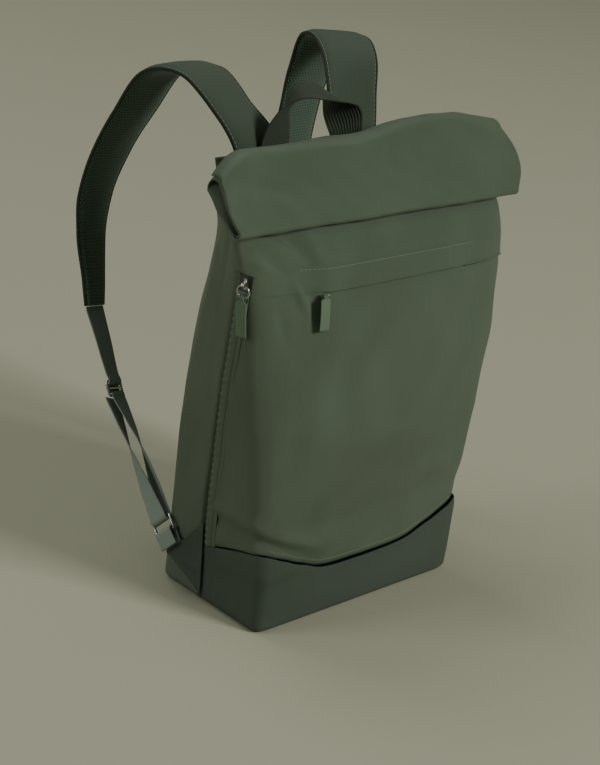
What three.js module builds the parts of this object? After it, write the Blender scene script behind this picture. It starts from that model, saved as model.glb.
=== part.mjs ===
import * as THREE from 'three';
import { mergeVertices } from 'three/addons/utils/BufferGeometryUtils.js';

// A rolltop backpack that stands on its base with its top rolled forwards. Millimetres, +Z up. The front
// faces -Y, the padded back faces +Y, and the origin is the middle of the base.

// The body
const BASE_WIDTH = 290;
const BASE_DEPTH = 152;
const BACK_HEIGHT = 455; // base to the top of the back panel
const NECK_RISE = 29; // from there up to where the neck meets the roll
const TOP_HEIGHT = BACK_HEIGHT + NECK_RISE;
const CLOTH = 2;
const BACK_PADDING = 9;
const SEAM_GAP = 0.4; // between neighbouring panels
const SEAT_GAP = 0.3; // between a fitting and what carries it
const BAND_HEIGHT = 88; // of the base band at the front corners
const POCKET_DROP = 93; // from the top of the back panel down to the pocket's slit
const POCKET_SLIT_HEIGHT = BACK_HEIGHT - POCKET_DROP;
const POCKET_TUCK = 18; // how far the front panel runs up behind the yoke
const YOKE_LIP = 0.8; // how far the yoke's lower edge stands proud

// The roll
const ROLL_LENGTH = 400; // along the lower edge
const ROLL_END_SLANT = 8; // how much shorter each end is at the top
const ROLL_END_BULGE = 12; // how far each end bulges half way up
const ROLL_LEFT_CUT = 18; // how much shorter the left end is along the crest
const ROLL_LEAN = 62; // degrees from level, of its front face
const ROLL_SPAN = 66; // between the centres of its upper and lower bend
const ROLL_TOP_RADIUS = 13;
const ROLL_FOOT_RADIUS = 7;
const ROLL_CLOTH = 1.5;
const ROLL_TOP_PITCH = 4.6; // how much tighter the upper bend gets in a turn
const ROLL_FOOT_PITCH = 2.6;
const ROLL_BENDS = 4;

// The side zip and the pocket zip
const ZIP_WIDTH = 18; // of its cover
const ZIP_COVER_BULGE = 1.6;
const ZIP_TOP_HEIGHT = POCKET_SLIT_HEIGHT + 20;
const ZIP_SLIDER_HEIGHT = ZIP_TOP_HEIGHT - 7;
const ZIP_SLIDER_ACROSS = 0.8; // its place as a share of the cover's width
const ZIP_SLIDER_LENGTH = 11;
const ZIP_SLIDER_WIDTH = 3;
const ZIP_SLIDER_BASE = 1.6;
const RING_RADIUS = 6.6;
const RING_WIRE = 1.6;
const PULL_WIDTH = 12;
const SIDE_PULL_LENGTH = 44;
const POCKET_PULL_LENGTH = 38;
const PULL_TAPE = 1.2;
const PULL_TONGUE = 4.4;
const POCKET_SLIDER_X = -102; // where the slit's left end is
const STAPLE_WIDTH = 9;
const STAPLE_BAR = 1.3;

// The carrying parts
const WEBBING_WIDTH = 25;
const WEBBING = 1.6;
const STRAP_WIDTH = 62;
const STRAP_PADDING = 10;
const STRAP_REACH = 200; // how far a strap stands off behind the back panel
const HANDLE_WIDTH = 40;
const HANDLE_SPAN = 104; // between the middles of its two feet
const HANDLE_RISE = 62; // above the top of the back panel
const HANDLE_TILT = 16; // degrees by which its crown slopes up behind
const BAR = 3; // the wire of the rings and the bars of the sliders
const SLIDER_SLOT = 5; // the gap between a strap slider's bars
const STRAND_BOW = 4; // how far each strand of webbing bows out half way down
const RING_DEPTH = 13; // a strap ring's opening, along the strap
const TAB_LENGTH = 16;
const WING_FOOT = 8; // height of the wing's lowest point, on the side seam
const WING_HEAD = 93;

// Levels of the body. height is a share of TOP_HEIGHT, halfWidth of BASE_WIDTH, and seam, front and back
// (the Y of the side seams and of the middle of each face) of BASE_DEPTH. The corners are square at 24
// and elliptic at 2, and taper is how much narrower the back face is than the seams.
const LEVELS = tableOf(
  ['height', 'halfWidth', 'seam', 'front', 'back', 'frontCorner', 'backCorner', 'taper'],
  [
    [0.0, 0.5, 0.08, -0.5, 0.5, 24, 24, 0],
    [0.1, 0.507, 0.085, -0.52, 0.5, 16, 16, 0],
    [0.18, 0.517, 0.087, -0.53, 0.5, 11, 12, 0],
    [0.38, 0.552, 0.02, -0.535, 0.5, 7, 9, 0.03],
    [0.53, 0.586, -0.052, -0.515, 0.5, 5.4, 6.5, 0.075],
    [0.64, 0.605, -0.112, -0.48, 0.5, 4.8, 5.5, 0.12],
    [0.74, 0.622, -0.16, -0.425, 0.5, 4.4, 4.4, 0.165],
    [0.81, 0.637, -0.178, -0.35, 0.5, 4.2, 3.8, 0.2],
    [0.845, 0.64, -0.16, -0.28, 0.5, 4.2, 3.6, 0.2],
    [0.87, 0.642, -0.115, -0.2, 0.5, 4.2, 3.5, 0.2],
    [0.94, 0.65, 0.04, -0.007, 0.5, 4.5, 3.5, 0.18],
    [1.0, 0.645, 0.132, 0.112, 0.152, 24, 24, 0.04],
  ],
);
const CORNER = 0.75; // the share of a half outline, from its middle, where the corner is
const BACK_EDGE = 0.7; // the share where the back panel meets the side panels
const OUTLINE_STEPS = 160;

// The base band's upper seam: at is the share of the half outline from its middle, height of BAND_HEIGHT.
const BAND_SEAM = [
  { at: 0, height: 0.64 },
  { at: 0.35, height: 0.68 },
  { at: 0.5, height: 0.8 },
  { at: 0.65, height: 0.93 },
  { at: 0.75, height: 1.0 },
  { at: 1, height: 0.75 },
];

// The roll's crest: at is a share of its half length, rise a share of ROLL_SPAN.
const CREST = [
  { at: -1, rise: 0 },
  { at: -0.35, rise: 0 },
  { at: 0, rise: 0.04 },
  { at: 0.2, rise: 0.15 },
  { at: 0.4, rise: 0.21 },
  { at: 0.6, rise: 0.19 },
  { at: 0.8, rise: 0.11 },
  { at: 1, rise: 0 },
];

// The middle lines of the straps, each from the back panel to its webbing. out is a share of BASE_WIDTH,
// behind a share of STRAP_REACH from the back panel's face, up a share of BACK_HEIGHT, width a share of
// STRAP_WIDTH, and turn the degrees by which the left strap's width turns about the upright axis,
// mirrored for the right one.
const LEFT_STRAP = [
  { out: 0.231, behind: 0.03, up: 0.95, width: 1, turn: 0 },
  { out: 0.235, behind: 0.045, up: 1.01, width: 1, turn: 2 },
  { out: 0.293, behind: 0.145, up: 1.088, width: 1, turn: 12 },
  { out: 0.355, behind: 0.32, up: 1.16, width: 1, turn: 6 },
  { out: 0.38, behind: 0.56, up: 1.14, width: 1, turn: 2 },
  { out: 0.4, behind: 0.74, up: 1.026, width: 0.96, turn: 1 },
  { out: 0.416, behind: 0.87, up: 0.919, width: 0.92, turn: 4 },
  { out: 0.43, behind: 0.95, up: 0.804, width: 0.86, turn: 9 },
  { out: 0.446, behind: 0.93, up: 0.716, width: 0.76, turn: 14 },
  { out: 0.46, behind: 0.85, up: 0.607, width: 0.56, turn: 12 },
  { out: 0.468, behind: 0.81, up: 0.55, width: 0.46, turn: 8 },
];
const RIGHT_STRAP = [
  { out: 0.231, behind: 0.03, up: 0.95, width: 1, turn: 0 },
  { out: 0.24, behind: 0.045, up: 1.01, width: 1, turn: 2 },
  { out: 0.27, behind: 0.135, up: 1.1, width: 1, turn: 10 },
  { out: 0.31, behind: 0.245, up: 1.18, width: 1, turn: 26 },
  { out: 0.345, behind: 0.37, up: 1.207, width: 1, turn: 36 },
  { out: 0.372, behind: 0.52, up: 1.198, width: 1, turn: 24 },
  { out: 0.395, behind: 0.645, up: 1.11, width: 0.97, turn: 8 },
  { out: 0.42, behind: 0.73, up: 1.01, width: 0.94, turn: 2 },
  { out: 0.44, behind: 0.79, up: 0.9, width: 0.9, turn: 4 },
  { out: 0.455, behind: 0.82, up: 0.79, width: 0.84, turn: 8 },
  { out: 0.47, behind: 0.81, up: 0.68, width: 0.7, turn: 10 },
  { out: 0.48, behind: 0.77, up: 0.59, width: 0.52, turn: 8 },
  { out: 0.482, behind: 0.75, up: 0.55, width: 0.46, turn: 6 },
];
const STRAP_SLIDER_AT = { out: 0.479, behind: 0.56, up: 0.38, turn: 28 };
const RING_AT = { out: 0.535, behind: -0.035, up: 0.141 };
const RING_ACROSS = new THREE.Vector3(-0.09, 0.73, -0.675); // the way of the left ring's bars

// How far the zip's cover stands out, as a share of ZIP_COVER_BULGE, across its width.
const ZIP_BULGE = [
  { across: 0, bulge: 0 },
  { across: 0.2, bulge: 0.8 },
  { across: 0.4, bulge: 1 },
  { across: 0.6, bulge: 0.7 },
  { across: 0.8, bulge: 0.25 },
  { across: 1, bulge: 0 },
];

// The haul handle from its left foot to its right one. out is a share of HANDLE_SPAN, up of HANDLE_RISE
// from the back panel's top, behind of HANDLE_WIDTH from the back panel's face, and turn the degrees of
// its half twist.
const HANDLE = [
  { out: 0.5, up: -0.35, behind: 0, turn: 0 },
  { out: 0.5, up: 0.02, behind: 0, turn: 0 },
  { out: 0.475, up: 0.3, behind: 0.01, turn: 6 },
  { out: 0.41, up: 0.55, behind: 0.03, turn: 18 },
  { out: 0.3, up: 0.8, behind: 0.06, turn: 36 },
  { out: 0.16, up: 0.95, behind: 0.08, turn: 52 },
  { out: 0, up: 1, behind: 0.08, turn: 68 },
  { out: -0.16, up: 0.95, behind: 0.08, turn: 88 },
  { out: -0.3, up: 0.8, behind: 0.06, turn: 112 },
  { out: -0.41, up: 0.55, behind: 0.03, turn: 142 },
  { out: -0.475, up: 0.3, behind: 0.01, turn: 165 },
  { out: -0.5, up: 0.02, behind: 0, turn: 180 },
  { out: -0.5, up: -0.35, behind: 0, turn: 180 },
];

const LEFT = -1;
const RIGHT = 1;
const UP = new THREE.Vector3(0, 0, 1);
const { clamp, degToRad, lerp } = THREE.MathUtils;

// Colours and finishes
const cloth = (color) => new THREE.MeshStandardMaterial({ color, roughness: 0.85, metalness: 0 });
const metal = (color) => new THREE.MeshStandardMaterial({ color, roughness: 0.35, metalness: 1 });
const FABRIC_COLOUR = 0x46513f;
const BAND_COLOUR = 0x3b453a;
const MESH_COLOUR = 0x28332c;
const STRAP_COLOUR = 0x38443a;
const WEBBING_COLOUR = 0x2c372d;
const PULL_COLOUR = 0x55664f;
const METAL_COLOUR = 0x8f9490;

const backpack = new THREE.Group();

function add(name, geometry, material) {
  const mesh = new THREE.Mesh(geometry, material);
  mesh.name = name;
  backpack.add(mesh);
  return mesh;
}

// Rows of values with the names of their columns.
function tableOf(columns, rows) {
  return rows.map((values) => Object.fromEntries(values.map((value, i) => [columns[i], value])));
}

function mixedRow(from, to, share) {
  return Object.fromEntries(Object.keys(from).map((name) => [name, lerp(from[name], to[name], share)]));
}

// A table's row at a value of one of its columns, mixed from the rows on either side.
function rowAt(table, column, value) {
  let low = 0;
  while (low < table.length - 2 && table[low + 1][column] < value) low += 1;
  const [from, to] = [table[low], table[low + 1]];
  return mixedRow(from, to, clamp((value - from[column]) / (to[column] - from[column]), 0, 1));
}

// Six times the volume that a geometry's triangles enclose, negative where they point in.
function signedVolume(geometry) {
  const { position } = geometry.attributes;
  const [a, b, c] = [new THREE.Vector3(), new THREE.Vector3(), new THREE.Vector3()];
  let sum = 0;
  for (let i = 0; i < geometry.index.count; i += 3) {
    a.fromBufferAttribute(position, geometry.index.getX(i));
    b.fromBufferAttribute(position, geometry.index.getX(i + 1));
    c.fromBufferAttribute(position, geometry.index.getX(i + 2));
    sum += a.dot(b.cross(c));
  }
  return sum;
}

// A closed geometry from points and triangles, with its faces turned outwards.
function solidGeometry(points, triangles) {
  const geometry = new THREE.BufferGeometry();
  geometry.setAttribute('position', new THREE.Float32BufferAttribute(points.flatMap((p) => p.toArray()), 3));
  geometry.setIndex(triangles.flat());
  if (signedVolume(geometry) < 0) geometry.setIndex(triangles.flatMap(([a, b, c]) => [a, c, b]));
  geometry.computeVertexNormals();
  return geometry;
}

// A wall between two grids of points of the same size, closed by a rim round its edge.
function wallGeometry(outer, inner) {
  const [rows, columns] = [outer.length, outer[0].length];
  const points = [...outer.flat(), ...inner.flat()];
  const at = (row, column, layer) => (layer * rows + row) * columns + column;
  const triangles = [];
  const quad = (a, b, c, d) => triangles.push([a, b, c], [a, c, d]);
  for (let r = 0; r < rows - 1; r += 1) {
    for (let c = 0; c < columns - 1; c += 1) {
      quad(at(r, c, 0), at(r, c + 1, 0), at(r + 1, c + 1, 0), at(r + 1, c, 0));
      quad(at(r, c, 1), at(r + 1, c, 1), at(r + 1, c + 1, 1), at(r, c + 1, 1));
    }
    quad(at(r, 0, 0), at(r + 1, 0, 0), at(r + 1, 0, 1), at(r, 0, 1));
    quad(at(r, columns - 1, 0), at(r, columns - 1, 1), at(r + 1, columns - 1, 1), at(r + 1, columns - 1, 0));
  }
  for (let c = 0; c < columns - 1; c += 1) {
    quad(at(0, c, 0), at(0, c, 1), at(0, c + 1, 1), at(0, c + 1, 0));
    quad(at(rows - 1, c, 0), at(rows - 1, c + 1, 0), at(rows - 1, c + 1, 1), at(rows - 1, c, 1));
  }
  return solidGeometry(points, triangles);
}

// A solid through rings of points, each a convex section, with flat ends. The second half of each ring is
// split the other way, so that both faces of a thin twisted ribbon bend along the same diagonals.
function loftGeometry(rings) {
  const count = rings[0].length;
  const triangles = [];
  for (let r = 0; r < rings.length - 1; r += 1) {
    for (let i = 0; i < count; i += 1) {
      const [a, b] = [r * count + i, r * count + ((i + 1) % count)];
      if (i < count / 2) triangles.push([a, b, b + count], [a, b + count, a + count]);
      else triangles.push([a, b, a + count], [b, b + count, a + count]);
    }
  }
  const last = (rings.length - 1) * count;
  for (let i = 1; i < count - 1; i += 1) triangles.push([0, i + 1, i], [last, last + i, last + i + 1]);
  return solidGeometry(rings.flat(), triangles);
}

// The shape of a body level at a height, shrunk by an inset.
function levelAt(z, inset) {
  const row = rowAt(LEVELS, 'height', z / TOP_HEIGHT);
  return {
    halfWidth: row.halfWidth * BASE_WIDTH - inset,
    seam: row.seam * BASE_DEPTH,
    front: row.front * BASE_DEPTH + inset,
    back: row.back * BASE_DEPTH - inset,
    frontCorner: row.frontCorner,
    backCorner: row.backCorner,
    taper: row.taper,
  };
}

// The heights of the levels between two heights.
function levelHeights(from, to) {
  return LEVELS.map((level) => level.height * TOP_HEIGHT).filter((z) => z >= from && z < to);
}

// Half of a level's outline, 'front' or 'back', from the left seam to the right one, with the length to
// each point.
function halfOutline(z, side, inset) {
  const level = levelAt(z, inset);
  const power = 2 / level[`${side}Corner`];
  const points = [];
  const lengths = [];
  for (let i = 0; i <= OUTLINE_STEPS; i += 1) {
    const angle = (Math.PI * i) / OUTLINE_STEPS;
    const depth = Math.abs(Math.sin(angle)) ** power;
    const narrowed = side === 'back' ? 1 - level.taper * depth : 1;
    const x = -Math.sign(Math.cos(angle)) * Math.abs(Math.cos(angle)) ** power * level.halfWidth * narrowed;
    const y = level.seam + depth * (level[side] - level.seam);
    points.push(new THREE.Vector3(x, y, z));
    lengths.push(i === 0 ? 0 : lengths[i - 1] + points[i].distanceTo(points[i - 1]));
  }
  return { points, lengths, corner: lengths[OUTLINE_STEPS / 4], total: lengths[OUTLINE_STEPS] };
}

function pointAtLength(outline, length) {
  let i = 1;
  while (i < OUTLINE_STEPS && outline.lengths[i] < length) i += 1;
  const span = outline.lengths[i] - outline.lengths[i - 1];
  const share = span > 0 ? (length - outline.lengths[i - 1]) / span : 0;
  return outline.points[i - 1].clone().lerp(outline.points[i], share);
}

// A point of the body's skin. share runs from -1 at the left seam to 1 at the right one, with the corners
// at +-CORNER. The margins keep a panel's edges off the seams, and shift moves the point along the
// outline.
function skinPoint(side, z, share, { inset = 0, left = SEAM_GAP, right = SEAM_GAP, shift = 0 } = {}) {
  const outline = halfOutline(z, side, inset);
  const margin = share < 0 ? left : right;
  const reach = Math.abs(share);
  const fromSeam = reach > CORNER
    ? lerp(margin, outline.corner, (1 - reach) / (1 - CORNER))
    : lerp(outline.corner, outline.total / 2, (CORNER - reach) / CORNER);
  return pointAtLength(outline, (share < 0 ? fromSeam : outline.total - fromSeam) + shift);
}

// How much the roll's crest lifts the cloth at an x.
const crestRise = (x) => rowAt(CREST, 'at', x / (ROLL_LENGTH / 2)).rise * ROLL_SPAN;

// Lifts a point of the neck: by nothing at the back panel's top, and by the whole crest at the roll.
function liftNeck(point) {
  point.z += crestRise(point.x) * clamp((point.z - BACK_HEIGHT) / NECK_RISE, 0, 1);
  return point;
}

// A panel of the body: its rows give heights and options for each column's share.
function panelGeometry(side, shares, rows, wall) {
  const grid = (extra) => rows.map((row) => shares.map((share) => {
    const { z, inset = 0, ...margins } = row(share);
    return liftNeck(skinPoint(side, z, share, { ...margins, inset: inset + extra }));
  }));
  return wallGeometry(grid(0), grid(wall));
}

const bandTop = (share) => rowAt(BAND_SEAM, 'at', Math.abs(share)).height * BAND_HEIGHT;

// The band's top at a length round from the left seam.
function bandTopFromSeam(length) {
  return bandTop(1 - ((1 - CORNER) * length) / halfOutline(BAND_HEIGHT, 'front', 0).corner);
}

// Columns across a half outline, closer together at the corners.
const FRONT_SHARES = [-1, -0.9, -0.81, -0.77, -0.75, -0.73, -0.68, -0.56, -0.42, -0.28, -0.14, 0];
const acrossFront = [...FRONT_SHARES, ...FRONT_SHARES.slice(0, -1).map((share) => -share).reverse()];

function addBottom() {
  const ring = [];
  for (const side of ['front', 'back']) {
    const outline = halfOutline(0, side, CLOTH + SEAM_GAP);
    const shares = side === 'front' ? acrossFront : [...acrossFront].reverse();
    for (const share of shares.slice(0, -1)) {
      const fromSeam = Math.abs(share) > CORNER
        ? lerp(0, outline.corner, (1 - Math.abs(share)) / (1 - CORNER))
        : lerp(outline.corner, outline.total / 2, (CORNER - Math.abs(share)) / CORNER);
      ring.push(pointAtLength(outline, share < 0 ? fromSeam : outline.total - fromSeam));
    }
  }
  const top = ring.map((point) => point.clone().setZ(CLOTH));
  add('bottom_panel', loftGeometry([ring, top]), cloth(BAND_COLOUR));
}

function addBand() {
  const rows = [0, 0.12, 0.35, 0.65, 1].map((part) => (share) => ({ z: part * bandTop(share) }));
  add('base_band', panelGeometry('front', acrossFront, rows, CLOTH), cloth(BAND_COLOUR));
}

// The front panel runs from the band up to the pocket's slit and on behind the yoke.
function addFront() {
  const left = ZIP_WIDTH + SEAM_GAP;
  const { corner } = halfOutline(BAND_HEIGHT, 'front', 0);
  const start = (share) => SEAM_GAP + (share < -CORNER
    ? bandTopFromSeam(lerp(left, corner, (1 + share) / (1 - CORNER)))
    : bandTop(share));
  const bend = POCKET_SLIT_HEIGHT - CLOTH;
  const tucked = CLOTH + 2 * SEAM_GAP;
  const rows = [0, 0.15, 0.32, 0.5, 0.68, 0.86, 1].map((part) => (share) => (
    { z: lerp(start(share), bend, part), left }
  ));
  rows.push(() => ({ z: POCKET_SLIT_HEIGHT, inset: tucked, left }));
  rows.push(() => ({ z: POCKET_SLIT_HEIGHT + POCKET_TUCK, inset: tucked, left }));
  add('front_panel', panelGeometry('front', acrossFront, rows, CLOTH), cloth(FABRIC_COLOUR));
}

// The yoke hangs over the slit with a proud lower edge, and its upper end is the front of the neck.
function addYoke() {
  const left = ZIP_WIDTH + SEAM_GAP;
  const lip = POCKET_SLIT_HEIGHT + 3 * CLOTH;
  const free = ZIP_TOP_HEIGHT + SEAM_GAP;
  const top = TOP_HEIGHT - ROLL_CLOTH - CLOTH;
  const rows = [
    () => ({ z: POCKET_SLIT_HEIGHT, inset: -YOKE_LIP, left }),
    () => ({ z: lip, left }),
    () => ({ z: lerp(lip, ZIP_TOP_HEIGHT, 0.5), left }),
    () => ({ z: ZIP_TOP_HEIGHT, left }),
    ...[free, ...levelHeights(free + CLOTH, TOP_HEIGHT), top].map((z) => () => ({ z })),
  ];
  add('front_yoke', panelGeometry('front', acrossFront, rows, CLOTH), cloth(FABRIC_COLOUR));
}

// A side panel runs from its seam back round the corner to the back panel.
function addSidePanel(name, side) {
  const shares = [1, 0.94, 0.88, 0.82, 0.78, 0.76, 0.75, 0.74, 0.72, BACK_EDGE].map((share) => share * side);
  const body = levelHeights(0, BACK_HEIGHT - CLOTH);
  const neck = rollStations().slice(0, NECK_SHARES.length).map(({ point }) => point.z);
  const heights = [...body, ...neck.slice(0, -2), neck[neck.length - 2] - ROLL_CLOTH];
  const rows = heights.map((z) => () => ({ z }));
  add(name, panelGeometry('back', shares, rows, CLOTH), cloth(FABRIC_COLOUR));
}

function addBackPanel() {
  const shares = [-BACK_EDGE, -0.6, -0.4, -0.2, 0, 0.2, 0.4, 0.6, BACK_EDGE];
  const heights = [CLOTH + SEAM_GAP, ...levelHeights(2 * CLOTH, BACK_HEIGHT - CLOTH), BACK_HEIGHT];
  const grid = (inset) => heights.map((z) => shares.map((share) => {
    const shift = Math.abs(share) < BACK_EDGE ? 0 : -Math.sign(share) * SEAM_GAP;
    return skinPoint('back', z, share, { inset, shift });
  }));
  add('back_panel', wallGeometry(grid(0), grid(BACK_PADDING)), cloth(MESH_COLOUR));
}

// The roll's section lies in the plane x = 0. Its upper bend rests against the front of the neck, one
// radius below the neck's top, and its front face leans back by ROLL_LEAN.
function rollSection() {
  const neckTop = skinPoint('front', TOP_HEIGHT, 0);
  const neckFoot = skinPoint('front', BACK_HEIGHT, 0);
  const along = neckTop.clone().sub(neckFoot).normalize();
  const forward = new THREE.Vector3(0, -along.z, along.y);
  const lean = degToRad(ROLL_LEAN);
  const upRoll = new THREE.Vector3(0, Math.cos(lean), Math.sin(lean));
  const rearward = new THREE.Vector3(0, Math.sin(lean), -Math.cos(lean));
  const top = neckTop.clone()
    .addScaledVector(along, -ROLL_TOP_RADIUS)
    .addScaledVector(forward, ROLL_TOP_RADIUS + SEAM_GAP);
  const foot = top.clone()
    .addScaledVector(rearward, ROLL_FOOT_RADIUS - ROLL_TOP_RADIUS)
    .addScaledVector(upRoll, -ROLL_SPAN);
  return { top, foot, upRoll, lean };
}

const NECK_SHARES = [0, 0.35, 0.7, 0.9]; // of the way from the back panel to the roll
const radial = (angle) => new THREE.Vector3(0, Math.cos(angle), Math.sin(angle));

// Stations of the roll's cloth from the back panel's top, over the roll and round into its middle. Each
// has a place, the direction its outer face looks, its half length and how much of the crest it takes.
function rollStations() {
  const { top, foot, upRoll, lean } = rollSection();
  const height = (point) => clamp(point.clone().sub(foot).dot(upRoll) / ROLL_SPAN, 0, 1);
  const halfLength = (up) => (
    ROLL_LENGTH / 2 + ROLL_END_BULGE * Math.sin(Math.PI * up) - ROLL_END_SLANT * up ** 3
  );
  const start = skinPoint('back', BACK_HEIGHT, 0).setZ(BACK_HEIGHT + SEAM_GAP + ROLL_CLOTH);
  const toStart = start.clone().sub(top);
  const firstAngle = Math.atan2(toStart.z, toStart.y) + Math.acos(ROLL_TOP_RADIUS / toStart.length());
  const landing = top.clone().addScaledVector(radial(firstAngle), ROLL_TOP_RADIUS);
  const stations = NECK_SHARES.map((share) => {
    const point = start.clone().lerp(landing, share);
    const half = skinPoint('back', Math.min(point.z, TOP_HEIGHT), BACK_EDGE).x - 2 * CLOTH;
    return { point, out: radial(firstAngle), half, crest: clamp((point.z - BACK_HEIGHT) / NECK_RISE, 0, 1) };
  });
  const station = (point, out) => {
    const crest = height(point);
    return { point, out, half: halfLength(crest), crest, cut: ROLL_LEFT_CUT * crest ** 4 };
  };
  for (let bend = 0; bend < ROLL_BENDS; bend += 1) {
    const atTop = bend % 2 === 0;
    const from = bend === 0 ? firstAngle : lean + Math.PI * (bend - 0.5);
    const to = lean + Math.PI * (bend + 0.5);
    const bent = [0, 0.2, 0.4, 0.6, 0.8, 1].map((share) => {
      const angle = lerp(from, to, share);
      const turns = (angle - firstAngle) / (2 * Math.PI);
      const [middle, radius] = atTop
        ? [top, ROLL_TOP_RADIUS - ROLL_TOP_PITCH * turns]
        : [foot, ROLL_FOOT_RADIUS - ROLL_FOOT_PITCH * turns];
      return station(middle.clone().addScaledVector(radial(angle), radius), radial(angle));
    });
    if (bend > 0) {
      const last = stations[stations.length - 1].point;
      for (const share of [0.25, 0.5, 0.75]) {
        stations.push(station(last.clone().lerp(bent[0].point, share), bent[0].out));
      }
    }
    stations.push(...bent);
  }
  return stations;
}

function addRoll() {
  const stations = rollStations();
  const shares = [-1, -0.7, -0.35, 0, 0.2, 0.4, 0.6, 0.8, 1];
  const grid = (depth) => stations.map(({ point, out, half, crest, cut = 0 }) => shares.map((share) => {
    const place = point.clone().addScaledVector(out, -depth).setX(share * (share < 0 ? half - cut : half));
    place.z += crestRise(place.x) * crest;
    return place;
  }));
  add('roll_top', wallGeometry(grid(0), grid(ROLL_CLOTH)), cloth(FABRIC_COLOUR));
}

// A frame on the body's front half at a height: a point on the skin, the way out, the way up and the way
// across.
function frameOnSkin(z, length) {
  const step = 1;
  const at = (height, arc) => pointAtLength(halfOutline(height, 'front', 0), arc);
  const point = at(z, length);
  const across = at(z, length + step).sub(at(z, length - step)).normalize();
  const climb = at(z + step, length).sub(at(z - step, length)).normalize();
  const out = across.clone().cross(climb).normalize();
  const up = out.clone().cross(across).normalize();
  return { point, out, up, across };
}

// Moves from a frame's point: across it, up it and out of it.
function offset(frame, across, up, out) {
  return frame.point.clone()
    .addScaledVector(frame.across, across)
    .addScaledVector(frame.up, up)
    .addScaledVector(frame.out, out);
}

// The zip's cloth cover, rounded out along its middle.
function addZipCover() {
  const parts = [0, 0.1, 0.25, 0.4, 0.55, 0.7, 0.85, 1];
  const grid = (depth) => parts.map((part) => ZIP_BULGE.map(({ across, bulge }) => {
    const arc = lerp(2 * SEAM_GAP, ZIP_WIDTH - SEAM_GAP, across);
    const z = lerp(bandTopFromSeam(arc) + SEAM_GAP, ZIP_TOP_HEIGHT - SEAM_GAP, part);
    return pointAtLength(halfOutline(z, 'front', depth - bulge * ZIP_COVER_BULGE), arc);
  }));
  add('side_zip_cover', wallGeometry(grid(0), grid(CLOTH)), cloth(FABRIC_COLOUR));
}

// Turns a geometry drawn with X across, Y up and Z out into a frame.
function placeInFrame(geometry, frame, across, up, out) {
  const matrix = new THREE.Matrix4().makeBasis(frame.across, frame.up, frame.out);
  matrix.setPosition(offset(frame, across, up, out));
  return geometry.applyMatrix4(matrix);
}

// Merges an extrusion's doubled points, so that it is one closed body.
function welded(geometry) {
  geometry.deleteAttribute('normal');
  geometry.deleteAttribute('uv');
  const merged = mergeVertices(geometry, 1e-3);
  merged.computeVertexNormals();
  return merged;
}

function extruded(shape, depth, curveSegments) {
  const geometry = new THREE.ExtrudeGeometry(shape, { depth, bevelEnabled: false, curveSegments });
  return welded(geometry.translate(0, 0, -depth / 2));
}

function rectangle(width, height, PathClass = THREE.Shape) {
  const path = new PathClass();
  path.moveTo(-width / 2, -height / 2);
  path.lineTo(width / 2, -height / 2);
  path.lineTo(width / 2, height / 2);
  path.lineTo(-width / 2, height / 2);
  path.closePath();
  return path;
}

// A folded tape pull: a plate in front of a bar and a narrow tongue over the bar and down behind it. The
// bar runs across the frame at (barUp, barOut) with a square section of the given half size.
function foldedPull(frame, barUp, barOut, barHalf, length) {
  const swing = barHalf + SEAT_GAP + PULL_TAPE / 2;
  const path = [{ up: barUp - length, out: barOut + swing, width: PULL_WIDTH }];
  path.push({ up: barUp - 2 * swing, out: barOut + swing, width: PULL_WIDTH });
  path.push({ up: barUp - swing, out: barOut + swing, width: PULL_TONGUE });
  for (const angle of [0, 45, 90, 135, 180]) {
    const turn = degToRad(angle);
    path.push({
      up: barUp + Math.sin(turn) * swing, out: barOut + Math.cos(turn) * swing, width: PULL_TONGUE, turn,
    });
  }
  path.push({ up: barUp - 2 * swing, out: barOut - swing, width: PULL_TONGUE, turn: Math.PI });
  const rings = path.map(({ up, out, width, turn = 0 }) => {
    const [upHalf, outHalf] = [Math.sin(turn), Math.cos(turn)].map((part) => (part * PULL_TAPE) / 2);
    return [[-1, -1], [1, -1], [1, 1], [-1, 1]].map(([a, t]) => (
      offset(frame, (a * width) / 2, up + t * upHalf, out + t * outHalf)
    ));
  });
  return loftGeometry(rings);
}

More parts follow.
